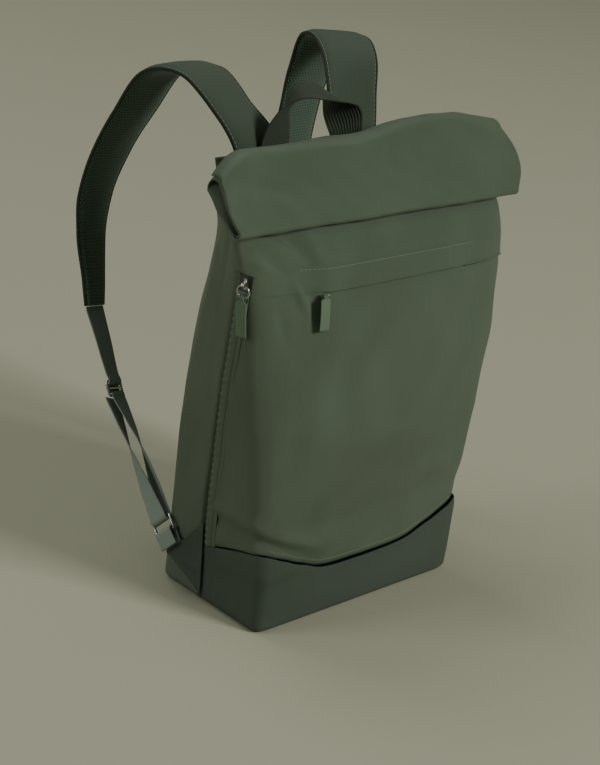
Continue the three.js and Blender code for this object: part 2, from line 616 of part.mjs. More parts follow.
// The side zip's slider lies on the cover with an eye that holds the split ring.
function addSideZip() {
  const frame = frameOnSkin(ZIP_SLIDER_HEIGHT, ZIP_SLIDER_ACROSS * ZIP_WIDTH);
  const seat = rowAt(ZIP_BULGE, 'across', ZIP_SLIDER_ACROSS).bulge * ZIP_COVER_BULGE + SEAT_GAP;
  const eyeHole = RING_WIRE / 2 + SEAT_GAP;
  const eyeOuter = eyeHole + RING_WIRE * 0.75;
  const ringOut = seat + ZIP_SLIDER_BASE + 2 * eyeHole + PULL_TAPE;
  const shape = new THREE.Shape();
  shape.moveTo(ZIP_SLIDER_LENGTH / 2, seat);
  shape.lineTo(ZIP_SLIDER_LENGTH / 2, seat + ZIP_SLIDER_BASE);
  shape.lineTo(eyeOuter, seat + ZIP_SLIDER_BASE);
  shape.lineTo(eyeOuter, ringOut);
  shape.absarc(0, ringOut, eyeOuter, 0, Math.PI, false);
  shape.lineTo(-eyeOuter, seat + ZIP_SLIDER_BASE);
  shape.lineTo(-ZIP_SLIDER_LENGTH / 2, seat + ZIP_SLIDER_BASE);
  shape.lineTo(-ZIP_SLIDER_LENGTH / 2, seat);
  shape.closePath();
  const hole = new THREE.Path();
  hole.absarc(0, ringOut, eyeHole, 0, 2 * Math.PI, true);
  shape.holes.push(hole);
  const body = extruded(shape, ZIP_SLIDER_WIDTH, 6);
  const sideways = new THREE.Matrix4().makeBasis(frame.up, frame.out, frame.across);
  body.applyMatrix4(sideways.setPosition(frame.point));
  add('side_zip_slider', body, metal(METAL_COLOUR));
  const ring = welded(new THREE.TorusGeometry(RING_RADIUS, RING_WIRE / 2, 6, 20));
  add('side_zip_ring', placeInFrame(ring, frame, 0, -RING_RADIUS, ringOut), metal(METAL_COLOUR));
  const pull = foldedPull(frame, -2 * RING_RADIUS, ringOut, RING_WIRE / 2 + SEAT_GAP, SIDE_PULL_LENGTH);
  add('side_zip_pull', pull, cloth(PULL_COLOUR));
}

// The pocket's slider is a staple just under the yoke's edge, and its pull hangs down the front panel.
function addPocketZip() {
  const outline = halfOutline(POCKET_SLIT_HEIGHT, 'front', 0);
  let index = 0;
  while (outline.points[index].x < POCKET_SLIDER_X) index += 1;
  const height = POCKET_SLIT_HEIGHT - CLOTH - STAPLE_BAR;
  const frame = frameOnSkin(height, outline.lengths[index]);
  const window = PULL_TAPE + 3 * SEAT_GAP;
  const shape = rectangle(STAPLE_WIDTH, window + 2 * STAPLE_BAR);
  shape.holes.push(rectangle(PULL_TONGUE + 4 * SEAT_GAP, window, THREE.Path));
  const staple = extruded(shape, STAPLE_BAR, 1);
  const middle = SEAT_GAP + STAPLE_BAR + window / 2;
  const upright = new THREE.Matrix4().makeBasis(frame.across, frame.out, frame.up.clone().negate());
  staple.applyMatrix4(upright.setPosition(offset(frame, 0, 0, middle)));
  add('pocket_zip_slider', staple, metal(METAL_COLOUR));
  const barOut = middle + window / 2 + STAPLE_BAR / 2;
  const pull = foldedPull(frame, 0, barOut, STAPLE_BAR / 2, POCKET_PULL_LENGTH);
  add('pocket_zip_pull', pull, cloth(PULL_COLOUR));
}

const FLAT = 0.82; // the share of a rounded ribbon's width where it has its whole thickness

// A ribbon through stations that each have a point, a way across, a width and a thickness. The edges are
// rounded off where edge is below 1.
function ribbonGeometry(stations, edge) {
  const rings = stations.map((station, i) => {
    const before = stations[Math.max(i - 1, 0)].point;
    const after = stations[Math.min(i + 1, stations.length - 1)].point;
    const along = after.clone().sub(before).normalize();
    const across = station.across.clone().addScaledVector(along, -station.across.dot(along)).normalize();
    const face = along.clone().cross(across);
    const [half, thick] = [station.width / 2, station.thickness / 2];
    const upperSide = edge < 1 ? [[-1, edge], [-FLAT, 1], [FLAT, 1], [1, edge]] : [[-1, 1], [1, 1]];
    const section = [...upperSide, ...upperSide.map(([a, t]) => [-a, -t])];
    return section.map(([a, t]) => (
      station.point.clone().addScaledVector(across, a * half).addScaledVector(face, t * thick)
    ));
  });
  return loftGeometry(rings);
}

const mirrored = (point, side) => point.setX(point.x * -side);

// A place of the left strap's tables, on the left or, mirrored, on the right.
function strapPlace({ out, behind, up }, side) {
  const face = skinPoint('back', BACK_HEIGHT / 2, 0).y;
  return mirrored(new THREE.Vector3(-out * BASE_WIDTH, face + behind * STRAP_REACH, up * BACK_HEIGHT), side);
}

// A way across a strap: mirrored and reversed on the right, so that out of it stays mirrored too.
const crossways = ({ x, y, z }, side) => new THREE.Vector3(x, y * -side, z * -side);
function turned(degrees, side) {
  const turn = degToRad(degrees);
  return crossways({ x: Math.cos(turn), y: Math.sin(turn), z: 0 }, side);
}

// A smooth curve through a table's places, sampled with the table's other columns.
function alongTable(table, place, steps) {
  const curve = new THREE.CatmullRomCurve3(table.map(place), false, 'centripetal');
  const samples = [];
  for (let i = 0; i <= steps; i += 1) {
    const reach = (i / steps) * (table.length - 1);
    const low = Math.min(Math.floor(reach), table.length - 2);
    samples.push({ ...mixedRow(table[low], table[low + 1], reach - low), point: curve.getPoint(i / steps) });
  }
  return samples;
}

const strapTable = (side) => (side === LEFT ? LEFT_STRAP : RIGHT_STRAP);

function addStrap(name, side) {
  const table = strapTable(side);
  const samples = alongTable(table, (row) => strapPlace(row, side), 2 * (table.length - 1));
  const first = WEBBING + STRAP_PADDING / 2 + 4 * SEAT_GAP;
  const face = skinPoint('back', BACK_HEIGHT / 2, 0).y;
  const stations = samples.map(({ point, width, turn }) => ({
    point: point.setY(Math.max(point.y, face + first)),
    across: turned(turn, side),
    width: width * STRAP_WIDTH,
    thickness: STRAP_PADDING,
  }));
  add(name, ribbonGeometry(stations, 0.35), cloth(STRAP_COLOUR));
}

// The ring's frame: across is its bars' direction, up leads to the strap.
function ringFrame(side) {
  const point = strapPlace(RING_AT, side);
  const up = strapPlace(STRAP_SLIDER_AT, side).sub(point).normalize();
  const across = crossways(RING_ACROSS, side);
  across.addScaledVector(up, -across.dot(up)).normalize();
  const out = across.clone().cross(up).normalize();
  return { point, out, up, across };
}

function addRing(name, side) {
  const frame = ringFrame(side);
  const opening = [WEBBING_WIDTH + 2 * SEAT_GAP, RING_DEPTH];
  const shape = rectangle(opening[0] + 2 * BAR, opening[1] + 2 * BAR);
  shape.holes.push(rectangle(...opening, THREE.Path));
  add(name, placeInFrame(extruded(shape, BAR, 1), frame, 0, 0, 0), metal(METAL_COLOUR));
}

// A half turn round one of a ring's bars: the side that the webbing comes from is up or down.
function roundBar(frame, barUp, way) {
  const swing = BAR * Math.SQRT1_2 + SEAT_GAP + WEBBING;
  return [0, 30, 60, 90, 120, 150, 180].map((angle) => {
    const turn = degToRad(angle);
    return offset(frame, 0, barUp - way * Math.sin(turn) * swing, Math.cos(turn) * swing);
  });
}

const webbingStations = (points, across) => points.map((point) => (
  { point, across, width: WEBBING_WIDTH, thickness: WEBBING }
));

// A strand of webbing between two frames' places, bowed out and twisting from the one frame to the other.
function strand(start, from, end, to, bow) {
  return [0.2, 0.4, 0.6, 0.8].flatMap((share) => {
    const out = from.out.clone().lerp(to.out, share).normalize();
    const point = start.clone().lerp(end, share).addScaledVector(out, bow * Math.sin(Math.PI * share));
    return webbingStations([point], from.across.clone().lerp(to.across, share).normalize());
  });
}

// The webbing leaves the padded strap's end, weaves through the slider, turns round the ring's upper bar
// and comes back up behind itself to the slider.
function addWebbing(name, side) {
  const frame = ringFrame(side);
  const slider = sliderFrame(side);
  const [before, end] = strapTable(side).slice(-2).map((row) => strapPlace(row, side));
  const along = end.clone().sub(before).normalize();
  const bar = RING_DEPTH / 2 + BAR / 2;
  const stride = BAR + SLIDER_SLOT;
  const lift = BAR / 2 + SEAT_GAP + WEBBING / 2;
  const start = end.clone().addScaledVector(along, 2 * SEAM_GAP);
  const upperHalf = [[1.15, 1], [0.8, 1], [0.66, 0.8], [0.34, -0.8], [0.2, -1]];
  const lowerHalf = upperHalf.map(([up, out]) => [-up, out]).reverse();
  const weave = [[1.9, 0.5], ...upperHalf, ...lowerHalf, [-1.6, 1.1]];
  const woven = weave.map(([up, out]) => offset(slider, 0, up * stride, out * lift));
  const turn = roundBar(frame, bar, 1);
  const approach = turn[0].clone().addScaledVector(frame.up, BAR);
  const retreat = turn[turn.length - 1].clone().addScaledVector(frame.up, BAR);
  const tail = offset(slider, 0, -1.3 * stride, -2.4 * lift);
  const upper = start.clone().lerp(woven[0], 0.5);
  const endTurn = turned(strapTable(side).at(-1).turn, side);
  const parts = [
    webbingStations([start, start.clone().addScaledVector(along, WEBBING)], endTurn),
    webbingStations([upper], endTurn.clone().add(slider.across).normalize()),
    webbingStations(woven, slider.across),
    strand(woven[woven.length - 1], slider, approach, frame, STRAND_BOW),
    webbingStations([approach, ...turn, retreat], frame.across),
    strand(retreat, frame, tail, slider, -STRAND_BOW / 3),
    webbingStations([tail], slider.across),
  ];
  add(name, ribbonGeometry(parts.flat(), 1), cloth(WEBBING_COLOUR));
}

// The strap slider's frame follows the strap past it.
function sliderFrame(side) {
  const point = strapPlace(STRAP_SLIDER_AT, side);
  const up = strapPlace(strapTable(side).at(-1), side).sub(point).normalize();
  const across = turned(STRAP_SLIDER_AT.turn, side);
  across.addScaledVector(up, -across.dot(up)).normalize();
  const out = across.clone().cross(up).normalize();
  return { point, out, up, across };
}

function addStrapSlider(name, side) {
  const width = WEBBING_WIDTH + 2 * SEAT_GAP;
  const shape = rectangle(width + 2 * BAR, 3 * BAR + 2 * SLIDER_SLOT);
  for (const way of [-1, 1]) {
    const slot = rectangle(width, SLIDER_SLOT, THREE.Path);
    const lift = (way * (BAR + SLIDER_SLOT)) / 2;
    const moved = new THREE.Path(slot.getPoints().map((p) => p.add(new THREE.Vector2(0, lift))));
    shape.holes.push(moved);
  }
  add(name, placeInFrame(extruded(shape, BAR, 1), sliderFrame(side), 0, 0, 0), metal(METAL_COLOUR));
}

// The anchor tab is a loop of webbing round the ring's lower bar, and the wing is the cloth triangle that
// joins it to the side seam.
function addAnchor(side, tabName, wingName) {
  const frame = ringFrame(side);
  const bar = -(RING_DEPTH / 2 + BAR / 2);
  const turn = roundBar(frame, bar, -1);
  const ends = [turn[0], turn.at(-1)].map((point) => point.clone().addScaledVector(frame.up, -TAB_LENGTH));
  const loop = [ends[0], ...turn, ends[1].clone().addScaledVector(frame.out, WEBBING)];
  add(tabName, ribbonGeometry(webbingStations(loop, frame.across), 1), cloth(WEBBING_COLOUR));
  const mouth = ends[0].clone().addScaledVector(frame.up, -SEAM_GAP);
  const grid = (depth) => [0, 0.25, 0.5, 0.75, 1].map((share) => [-1, -0.5, 0, 0.5, 1].map((edge) => {
    const z = lerp(WING_FOOT, WING_HEAD, (edge + 1) / 2);
    const seam = skinPoint('back', z, side, { inset: -SEAT_GAP - depth });
    const tip = mouth.clone().addScaledVector(frame.across, (edge * side * WEBBING_WIDTH) / 2);
    tip.addScaledVector(frame.out, -depth);
    return seam.lerp(tip, share);
  }));
  add(wingName, wallGeometry(grid(WEBBING), grid(0)), cloth(BAND_COLOUR));
}

function handleAcross(turn) {
  const tilt = degToRad(HANDLE_TILT);
  return new THREE.Vector3(Math.cos(turn), Math.sin(turn) * Math.cos(tilt), Math.sin(turn) * Math.sin(tilt));
}

function addHandle() {
  const face = skinPoint('back', BACK_HEIGHT / 2, 0).y + WEBBING / 2 + 2 * SEAT_GAP;
  const place = ({ out, up, behind }) => new THREE.Vector3(
    -out * HANDLE_SPAN, face + behind * HANDLE_WIDTH, BACK_HEIGHT + up * HANDLE_RISE,
  );
  const stations = alongTable(HANDLE, place, 3 * (HANDLE.length - 1)).map(({ point, turn }) => ({
    point: point.setY(Math.max(point.y, face)),
    across: handleAcross(degToRad(turn)),
    width: HANDLE_WIDTH,
    thickness: WEBBING,
  }));
  add('haul_handle', ribbonGeometry(stations, 1), cloth(WEBBING_COLOUR));
}

addBottom();
addBand();
addFront();
addYoke();
addSidePanel('left_side_panel', LEFT);
addSidePanel('right_side_panel', RIGHT);
addBackPanel();
addRoll();
addZipCover();
addSideZip();
addPocketZip();
addHandle();
for (const [word, side] of [['left', LEFT], ['right', RIGHT]]) {
  addStrap(`shoulder_strap_${word}`, side);
  addWebbing(`strap_webbing_${word}`, side);
  addStrapSlider(`strap_slider_${word}`, side);
  addRing(`strap_ring_${word}`, side);
  addAnchor(side, `anchor_tab_${word}`, `anchor_wing_${word}`);
}

export default backpack;
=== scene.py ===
"""A rolltop backpack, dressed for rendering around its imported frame.

The cloth is rebuilt as fine surfaces that follow the frame's solids. Every shape is worked out in millimetres as
numpy arrays, with +Z up, the front facing -Y and the origin in the middle of the base, and made in metres.
"""

import logging
import math
from collections.abc import Sequence
from dataclasses import dataclass, field
from enum import Enum
from typing import NamedTuple

import bpy
import numpy as np
from mathutils import Matrix, Vector

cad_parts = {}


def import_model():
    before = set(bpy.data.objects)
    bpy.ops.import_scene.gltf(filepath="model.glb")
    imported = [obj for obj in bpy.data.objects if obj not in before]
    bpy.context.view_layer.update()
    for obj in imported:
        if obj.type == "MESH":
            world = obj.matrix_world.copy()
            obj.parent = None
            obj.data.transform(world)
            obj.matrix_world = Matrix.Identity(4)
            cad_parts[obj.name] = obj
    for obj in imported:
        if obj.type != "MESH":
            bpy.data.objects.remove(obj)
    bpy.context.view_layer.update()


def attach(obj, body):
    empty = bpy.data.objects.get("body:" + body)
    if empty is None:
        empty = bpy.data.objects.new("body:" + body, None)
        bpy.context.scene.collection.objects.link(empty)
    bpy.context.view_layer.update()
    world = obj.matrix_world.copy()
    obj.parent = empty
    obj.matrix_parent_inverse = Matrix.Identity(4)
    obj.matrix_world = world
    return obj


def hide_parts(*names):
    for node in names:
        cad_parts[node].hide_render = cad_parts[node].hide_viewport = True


MM = 0.001
FOLD_END = 0.35
LOG = logging.getLogger("backpack")

Array = np.ndarray


class Side(Enum):
    """Which of the two straps, as a sign of X."""

    LEFT = -1
    RIGHT = 1

    @property
    def word(self) -> str:
        """The side's name as the frame's nodes have it."""
        return self.name.lower()


class Face(Enum):
    """Which half of the body's outline a panel lies on."""

    FRONT = "front"
    BACK = "back"


class Level(NamedTuple):
    """A level of the body: shares of its height, width and depth, the corners' squareness, the back's taper."""

    height: float
    half_width: float
    seam: float
    front: float
    back: float
    front_corner: float
    back_corner: float
    taper: float


class Fold(NamedTuple):
    """A soft ridge, or a dent where rise is negative, from one place of a face to another, in millimetres."""

    across_from: float
    up_from: float
    across_to: float
    up_to: float
    breadth: float
    rise: float


class StrapRow(NamedTuple):
    """A place on a strap's middle line, in shares of its reach, with its width's share and turn in degrees."""

    out: float
    behind: float
    up: float
    width: float
    turn: float


class HandleRow(NamedTuple):
    """A place on the haul handle, in shares of its span, rise and width, with its turn in degrees."""

    out: float
    up: float
    behind: float
    turn: float


LEVELS = tuple(Level(*row) for row in (
    (0.0, 0.5, 0.08, -0.5, 0.5, 24, 24, 0),
    (0.1, 0.507, 0.085, -0.52, 0.5, 16, 16, 0),
    (0.18, 0.517, 0.087, -0.53, 0.5, 11, 12, 0),
    (0.38, 0.552, 0.02, -0.535, 0.5, 7, 9, 0.03),
    (0.53, 0.586, -0.052, -0.515, 0.5, 5.4, 6.5, 0.075),
    (0.64, 0.605, -0.112, -0.48, 0.5, 4.8, 5.5, 0.12),
    (0.74, 0.622, -0.16, -0.425, 0.5, 4.4, 4.4, 0.165),
    (0.81, 0.637, -0.178, -0.35, 0.5, 4.2, 3.8, 0.2),
    (0.845, 0.64, -0.16, -0.28, 0.5, 4.2, 3.6, 0.2),
    (0.87, 0.642, -0.115, -0.2, 0.5, 4.2, 3.5, 0.2),
    (0.94, 0.65, 0.04, -0.007, 0.5, 4.5, 3.5, 0.18),
    (1.0, 0.645, 0.132, 0.112, 0.152, 24, 24, 0.04),
))
BAND_SEAM = ((0, 0.64), (0.35, 0.68), (0.5, 0.8), (0.65, 0.93), (0.75, 1.0), (1, 0.75))
CREST = ((-1, 0), (-0.35, 0), (0, 0.04), (0.2, 0.15), (0.4, 0.21), (0.6, 0.19), (0.8, 0.11), (1, 0))
LEFT_STRAP = tuple(StrapRow(*row) for row in (
    (0.231, 0.03, 0.95, 1, 0),
    (0.235, 0.045, 1.01, 1, 2),
    (0.293, 0.145, 1.088, 1, 12),
    (0.355, 0.32, 1.16, 1, 6),
    (0.38, 0.56, 1.14, 1, 2),
    (0.4, 0.74, 1.026, 0.96, 1),
    (0.416, 0.87, 0.919, 0.92, 4),
    (0.43, 0.95, 0.804, 0.86, 9),
    (0.446, 0.93, 0.716, 0.76, 14),
    (0.46, 0.85, 0.607, 0.56, 12),
    (0.468, 0.81, 0.55, 0.46, 8),
))
RIGHT_STRAP = tuple(StrapRow(*row) for row in (
    (0.231, 0.03, 0.95, 1, 0),
    (0.24, 0.045, 1.01, 1, 2),
    (0.27, 0.135, 1.1, 1, 10),
    (0.31, 0.245, 1.18, 1, 26),
    (0.345, 0.37, 1.207, 1, 36),
    (0.372, 0.52, 1.198, 1, 24),
    (0.395, 0.645, 1.11, 0.97, 8),
    (0.42, 0.73, 1.01, 0.94, 2),
    (0.44, 0.79, 0.9, 0.9, 4),
    (0.455, 0.82, 0.79, 0.84, 8),
    (0.47, 0.81, 0.68, 0.7, 10),
    (0.48, 0.77, 0.59, 0.52, 8),
    (0.482, 0.75, 0.55, 0.46, 6),
))
STRAP_SLIDER_AT = StrapRow(0.479, 0.56, 0.38, 1, 28)
RING_AT = StrapRow(0.535, -0.035, 0.141, 1, 0)
RING_ACROSS = (-0.09, 0.73, -0.675)
HANDLE = tuple(HandleRow(*row) for row in (
    (0.5, -0.35, 0, 0),
    (0.5, 0.02, 0, 0),
    (0.475, 0.3, 0.01, 6),
    (0.41, 0.55, 0.03, 18),
    (0.3, 0.8, 0.06, 36),
    (0.16, 0.95, 0.08, 52),
    (0, 1, 0.08, 68),
    (-0.16, 0.95, 0.08, 88),
    (-0.3, 0.8, 0.06, 112),
    (-0.41, 0.55, 0.03, 142),
    (-0.475, 0.3, 0.01, 165),
    (-0.5, 0.02, 0, 180),
    (-0.5, -0.35, 0, 180),
))
BAND_FOLDS = tuple(Fold(*row) for row in (
    (-150, 62, -62, 84, 10, 2),
    (-70, 78, -58, 62, 7, 2),
    (-120, 30, 20, 22, 16, 1.4),
    (30, 48, 130, 66, 16, -1.4),
))
FRONT_FOLDS = tuple(Fold(*row) for row in (
    (-175, 128, -60, 78, 9, 2.8),
    (-168, 112, -96, 84, 7, -3.2),
    (-120, 100, -35, 84, 10, 2),
    (-133, 372, -116, 344, 5, 3.2),
    (-112, 362, -106, 330, 6, -2.6),
    (-150, 350, -140, 318, 8, -2.2),
    (-172, 414, -120, 396, 6, 3.2),
    (-165, 400, -135, 380, 6, -2.6),
    (-178, 396, -158, 388, 4, 2.3),
    (-145, 428, -112, 392, 8, -2.9),
    (-112, 424, -96, 380, 9, 2.3),
    (-150, 250, -60, 215, 26, 2.3),
    (-90, 330, -70, 180, 24, -3.2),
    (-40, 340, -30, 140, 26, 2.9),
    (60, 160, 165, 120, 22, 2.6),
    (30, 290, 150, 330, 30, -2.3),
    (110, 250, 172, 300, 20, 2.3),
    (-40, 180, 60, 150, 26, -1.7),
    (60, 414, 165, 402, 9, 2.3),
    (-60, 408, 40, 396, 10, -2),
))
SIDE_FOLDS = tuple(Fold(*row) for row in (
    (24, 396, 25, 375, 6, 1.7),
    (25, 375, 43, 275, 9, 2.2),
    (6, 351, 7, 213, 9, -1.9),
    (-8, 420, 2, 360, 5, -1.9),
    (30, 190, 50, 120, 10, -1.4),
    (14, 150, 40, 60, 12, 1.2),
))
ROLL_FOLDS = tuple(Fold(*row) for row in (
    (-86, 492, 6, 478, 5, 2.6),
    (-56, 487, 53, 490, 4, 1.9),
    (-190, 470, -120, 455, 7, -2.2),
    (-170, 448, -60, 440, 9, 1.9),
    (20, 462, 150, 478, 12, -1.9),
    (60, 446, 185, 452, 8, 2.1),
    (120, 492, 190, 474, 8, 2.2),
))


@dataclass(frozen=True)
class Sizes:
    """The driving dimensions that the pieces share, in millimetres."""

    base_width: float = 290
    base_depth: float = 152
    back_height: float = 455
    neck_rise: float = 29
    cloth: float = 2
    seam_gap: float = 0.4
    seat_gap: float = 0.3
    back_padding: float = 9
    band_height: float = 88
    slit_height: float = 362
    zip_width: float = 18
    zip_top: float = 382
    corner: float = 0.75
    back_edge: float = 0.7
    webbing_width: float = 25
    webbing: float = 1.6
    strap_reach: float = 200

    @property
    def top_height(self) -> float:
        """The height where the neck meets the roll."""
        return self.back_height + self.neck_rise

    @property
    def back_face(self) -> float:
        """The Y of the back panel's outer face."""
        return self.base_depth / 2


SIZES = Sizes()


def smooth_rows(knots: Array, rows: Array, at: Array, ease: float = 0.75) -> Array:
    """A smooth curve through a table's rows.

    Between two rows it is the cubic that has the mean slope at each of them, times the ease.

    Args:
        knots: the rows' places, rising.
        rows: the values, a row for each knot.
        at: the places to read the curve at.
        ease: 1 for the full slope, less to keep the curve from swinging past the rows.

    Returns:
        The values at those places.
    """
    slopes = np.gradient(rows, knots, axis=0) * ease
    low = np.clip(np.searchsorted(knots, at) - 1, 0, len(knots) - 2)
    span = (knots[low + 1] - knots[low])[..., None]
    t = ramp((at[..., None] - knots[low][..., None]) / span)
    start, end = (1 + 2 * t) * (1 - t) ** 2, t**2 * (3 - 2 * t)
    leave, arrive = t * (1 - t) ** 2 * span, t**2 * (t - 1) * span
    return start * rows[low] + end * rows[low + 1] + leave * slopes[low] + arrive * slopes[low + 1]


def smooth_value(table: Sequence[tuple[float, float]], at: Array) -> Array:
    """A smooth curve through a table of places and values."""
    knots, values = np.array(table, float).T
    return smooth_rows(knots, values[:, None], np.asarray(at, float))[..., 0]


def unit(vectors: Array) -> Array:
    """The vectors at length one."""
    return vectors / np.maximum(np.linalg.norm(vectors, axis=-1, keepdims=True), 1e-9)


def square_to(vectors: Array, along: Array) -> Array:
    """The vectors at length one, without their part along the others."""
    return unit(vectors - (vectors * along).sum(axis=-1, keepdims=True) * along)


def steps_along(points: Array, axis: int = 0) -> Array:
    """The length of the step to each point from the one before it along an axis; the first is zero."""
    first = points[:1] if axis == 0 else points[:, :1]
    return np.linalg.norm(np.diff(points, axis=axis, prepend=first), axis=-1)


def bell(distance: Array, breadth: float) -> Array:
    """A bell curve: 1 at no distance, and falling off with the square of the distance over the breadth."""
    return np.exp(-((distance / breadth) ** 2))


def ramp(values: Array) -> Array:
    """The values, held between 0 and 1."""
    return np.clip(values, 0, 1)


def grid_normals(points: Array) -> Array:
    """The normals of a grid of points: the cross product of its steps along the columns and along the rows."""
    return unit(np.cross(np.gradient(points, axis=1), np.gradient(points, axis=0)))


def ripple(points: Array, period: float, seed: int) -> Array:
    """A soft seeded unevenness from -1 to 1: the mean of six sine waves in different directions.

    Args:
        points: places, in millimetres.
        period: the mean wavelength, in millimetres.
        seed: picks the directions and phases.

    Returns:
        The unevenness at each place.
    """
    rng = np.random.default_rng(seed)
    ways = unit(rng.normal(size=(6, 3))) * (2 * math.pi / period) * rng.uniform(0.6, 1.5, (6, 1))
    return np.sin(points @ ways.T + rng.uniform(0, 2 * math.pi, 6)).mean(axis=-1) * 1.6


def fold_relief(across: Array, up: Array, folds: Sequence[Fold]) -> Array:
    """The rise of a face from its folds.

    Each fold is a bell curve of the distance to its line, which fades out towards the line's ends.

    Args:
        across: each point's place across the face.
        up: each point's height.
        folds: the folds' table.

    Returns:
        The rise at each point, in millimetres.
    """
    rise = np.zeros_like(across)
    for row in folds:
        start = np.array([row.across_from, row.up_from])
        way = np.array([row.across_to, row.up_to]) - start
        offset = np.stack([across, up], axis=-1) - start
        along = ramp(offset @ way / (way @ way))
        gap = np.linalg.norm(offset - along[..., None] * way, axis=-1)
        rise += row.rise * bell(gap, row.breadth) * (FOLD_END + (1 - FOLD_END) * np.sin(math.pi * along))
    return rise


def edge_dip(points: Array, depth: float, breadth: float) -> Array:
    """How far a panel's edges sink to its seams: a bell curve of the distance to the nearest edge.

    Args:
        points: the panel's grid.
        depth: how deep the edges sink.
        breadth: how far in from the edge the dip reaches.

    Returns:
        The rise at each point, nowhere above zero.
    """
    across = steps_along(points, 1).cumsum(axis=1)
    up = steps_along(points).cumsum(axis=0)
    near = np.minimum(np.minimum(across, across[:, -1:] - across), np.minimum(up, up[-1:] - up))
    return -depth * bell(near, breadth)


def grid_quads(rows: int, columns: int, around: bool = False) -> Array:
    """The faces of a grid of points: each joins a point, its neighbour in the row, and the two above them.

    Args:
        rows: how many rows the grid has.
        columns: how many columns it has.
        around: whether the last column joins the first.

    Returns:
        Four point numbers for each face.
    """
    number = np.arange(rows * columns).reshape(rows, columns)
    if around:
        number = np.concatenate([number, number[:, :1]], axis=1)
    faces = np.stack([number[:-1, :-1], number[:-1, 1:], number[1:, 1:], number[1:, :-1]], axis=-1)
    return faces.reshape(-1, 4)


def cloth_uv(points: Array) -> Array:
    """A U and V in metres for a grid: the length along each row from its middle, and up from the first row.

    Args:
        points: the grid, in millimetres.

    Returns:
        The U and V of each point, in metres.
    """
    along = steps_along(points, 1).cumsum(axis=1)
    along = along - along[:, [points.shape[1] // 2]]
    rises = steps_along(points).mean(axis=1).cumsum()
    return np.stack([along, np.broadcast_to(rises[:, None], along.shape)], axis=-1) * MM


def loft_quads(rows: int, columns: int) -> Array:
    """The faces of a closed loft through rings, with both ends closed by quads across the ring.

    Args:
        rows: how many rings there are.
        columns: how many points each ring has.

    Returns:
        Four point numbers for each face.
    """
    first = np.arange(columns // 2 - 1)
    cap = np.stack([first, first + 1, columns - 2 - first, columns - 1 - first], axis=-1)
    return np.concatenate([grid_quads(rows, columns, around=True), cap[:, ::-1], cap + (rows - 1) * columns])


def tube(path: Array, normal: Array, radius: float, closed: bool, sides: int = 12) -> tuple[Array, Array]:
    """A round tube along a path that lies in a plane.

    At each point of the path a circle stands across the path's direction there.

    Args:
        path: the points to follow, in millimetres.
        normal: the plane's normal.
        radius: the tube's radius.
        closed: whether the path's end joins its start.
        sides: the number of points round the tube.

    Returns:
        The points and the faces.
    """
    ahead = np.roll(path, -1, axis=0) - np.roll(path, 1, axis=0) if closed else np.gradient(path, axis=0)
    outward = unit(np.cross(unit(ahead), normal))
    turn = np.linspace(0, 2 * math.pi, sides, endpoint=False)
    ring = np.cos(turn)[None, :, None] * outward[:, None] + np.sin(turn)[None, :, None] * normal
    points = path[:, None] + radius * ring
    if closed:
        return points.reshape(-1, 3), grid_quads(len(path) + 1, sides, around=True) % (len(path) * sides)
    return points.reshape(-1, 3), loft_quads(len(path), sides)


def outward_quads(points: Array, quads: Array) -> Array:
    """A closed mesh's faces, turned so that they look out: reversed where the volume they enclose is negative.

    Args:
        points: the mesh's points.
        quads: its faces.

    Returns:
        The faces, all looking out.
    """
    corners = points.reshape(-1, 3)[quads]
    volume = np.einsum("ij,ij->", corners[:, 0], np.cross(corners[:, 1], corners[:, 2]))
    volume += np.einsum("ij,ij->", corners[:, 0], np.cross(corners[:, 2], corners[:, 3]))
    return quads if volume > 0 else quads[:, ::-1]


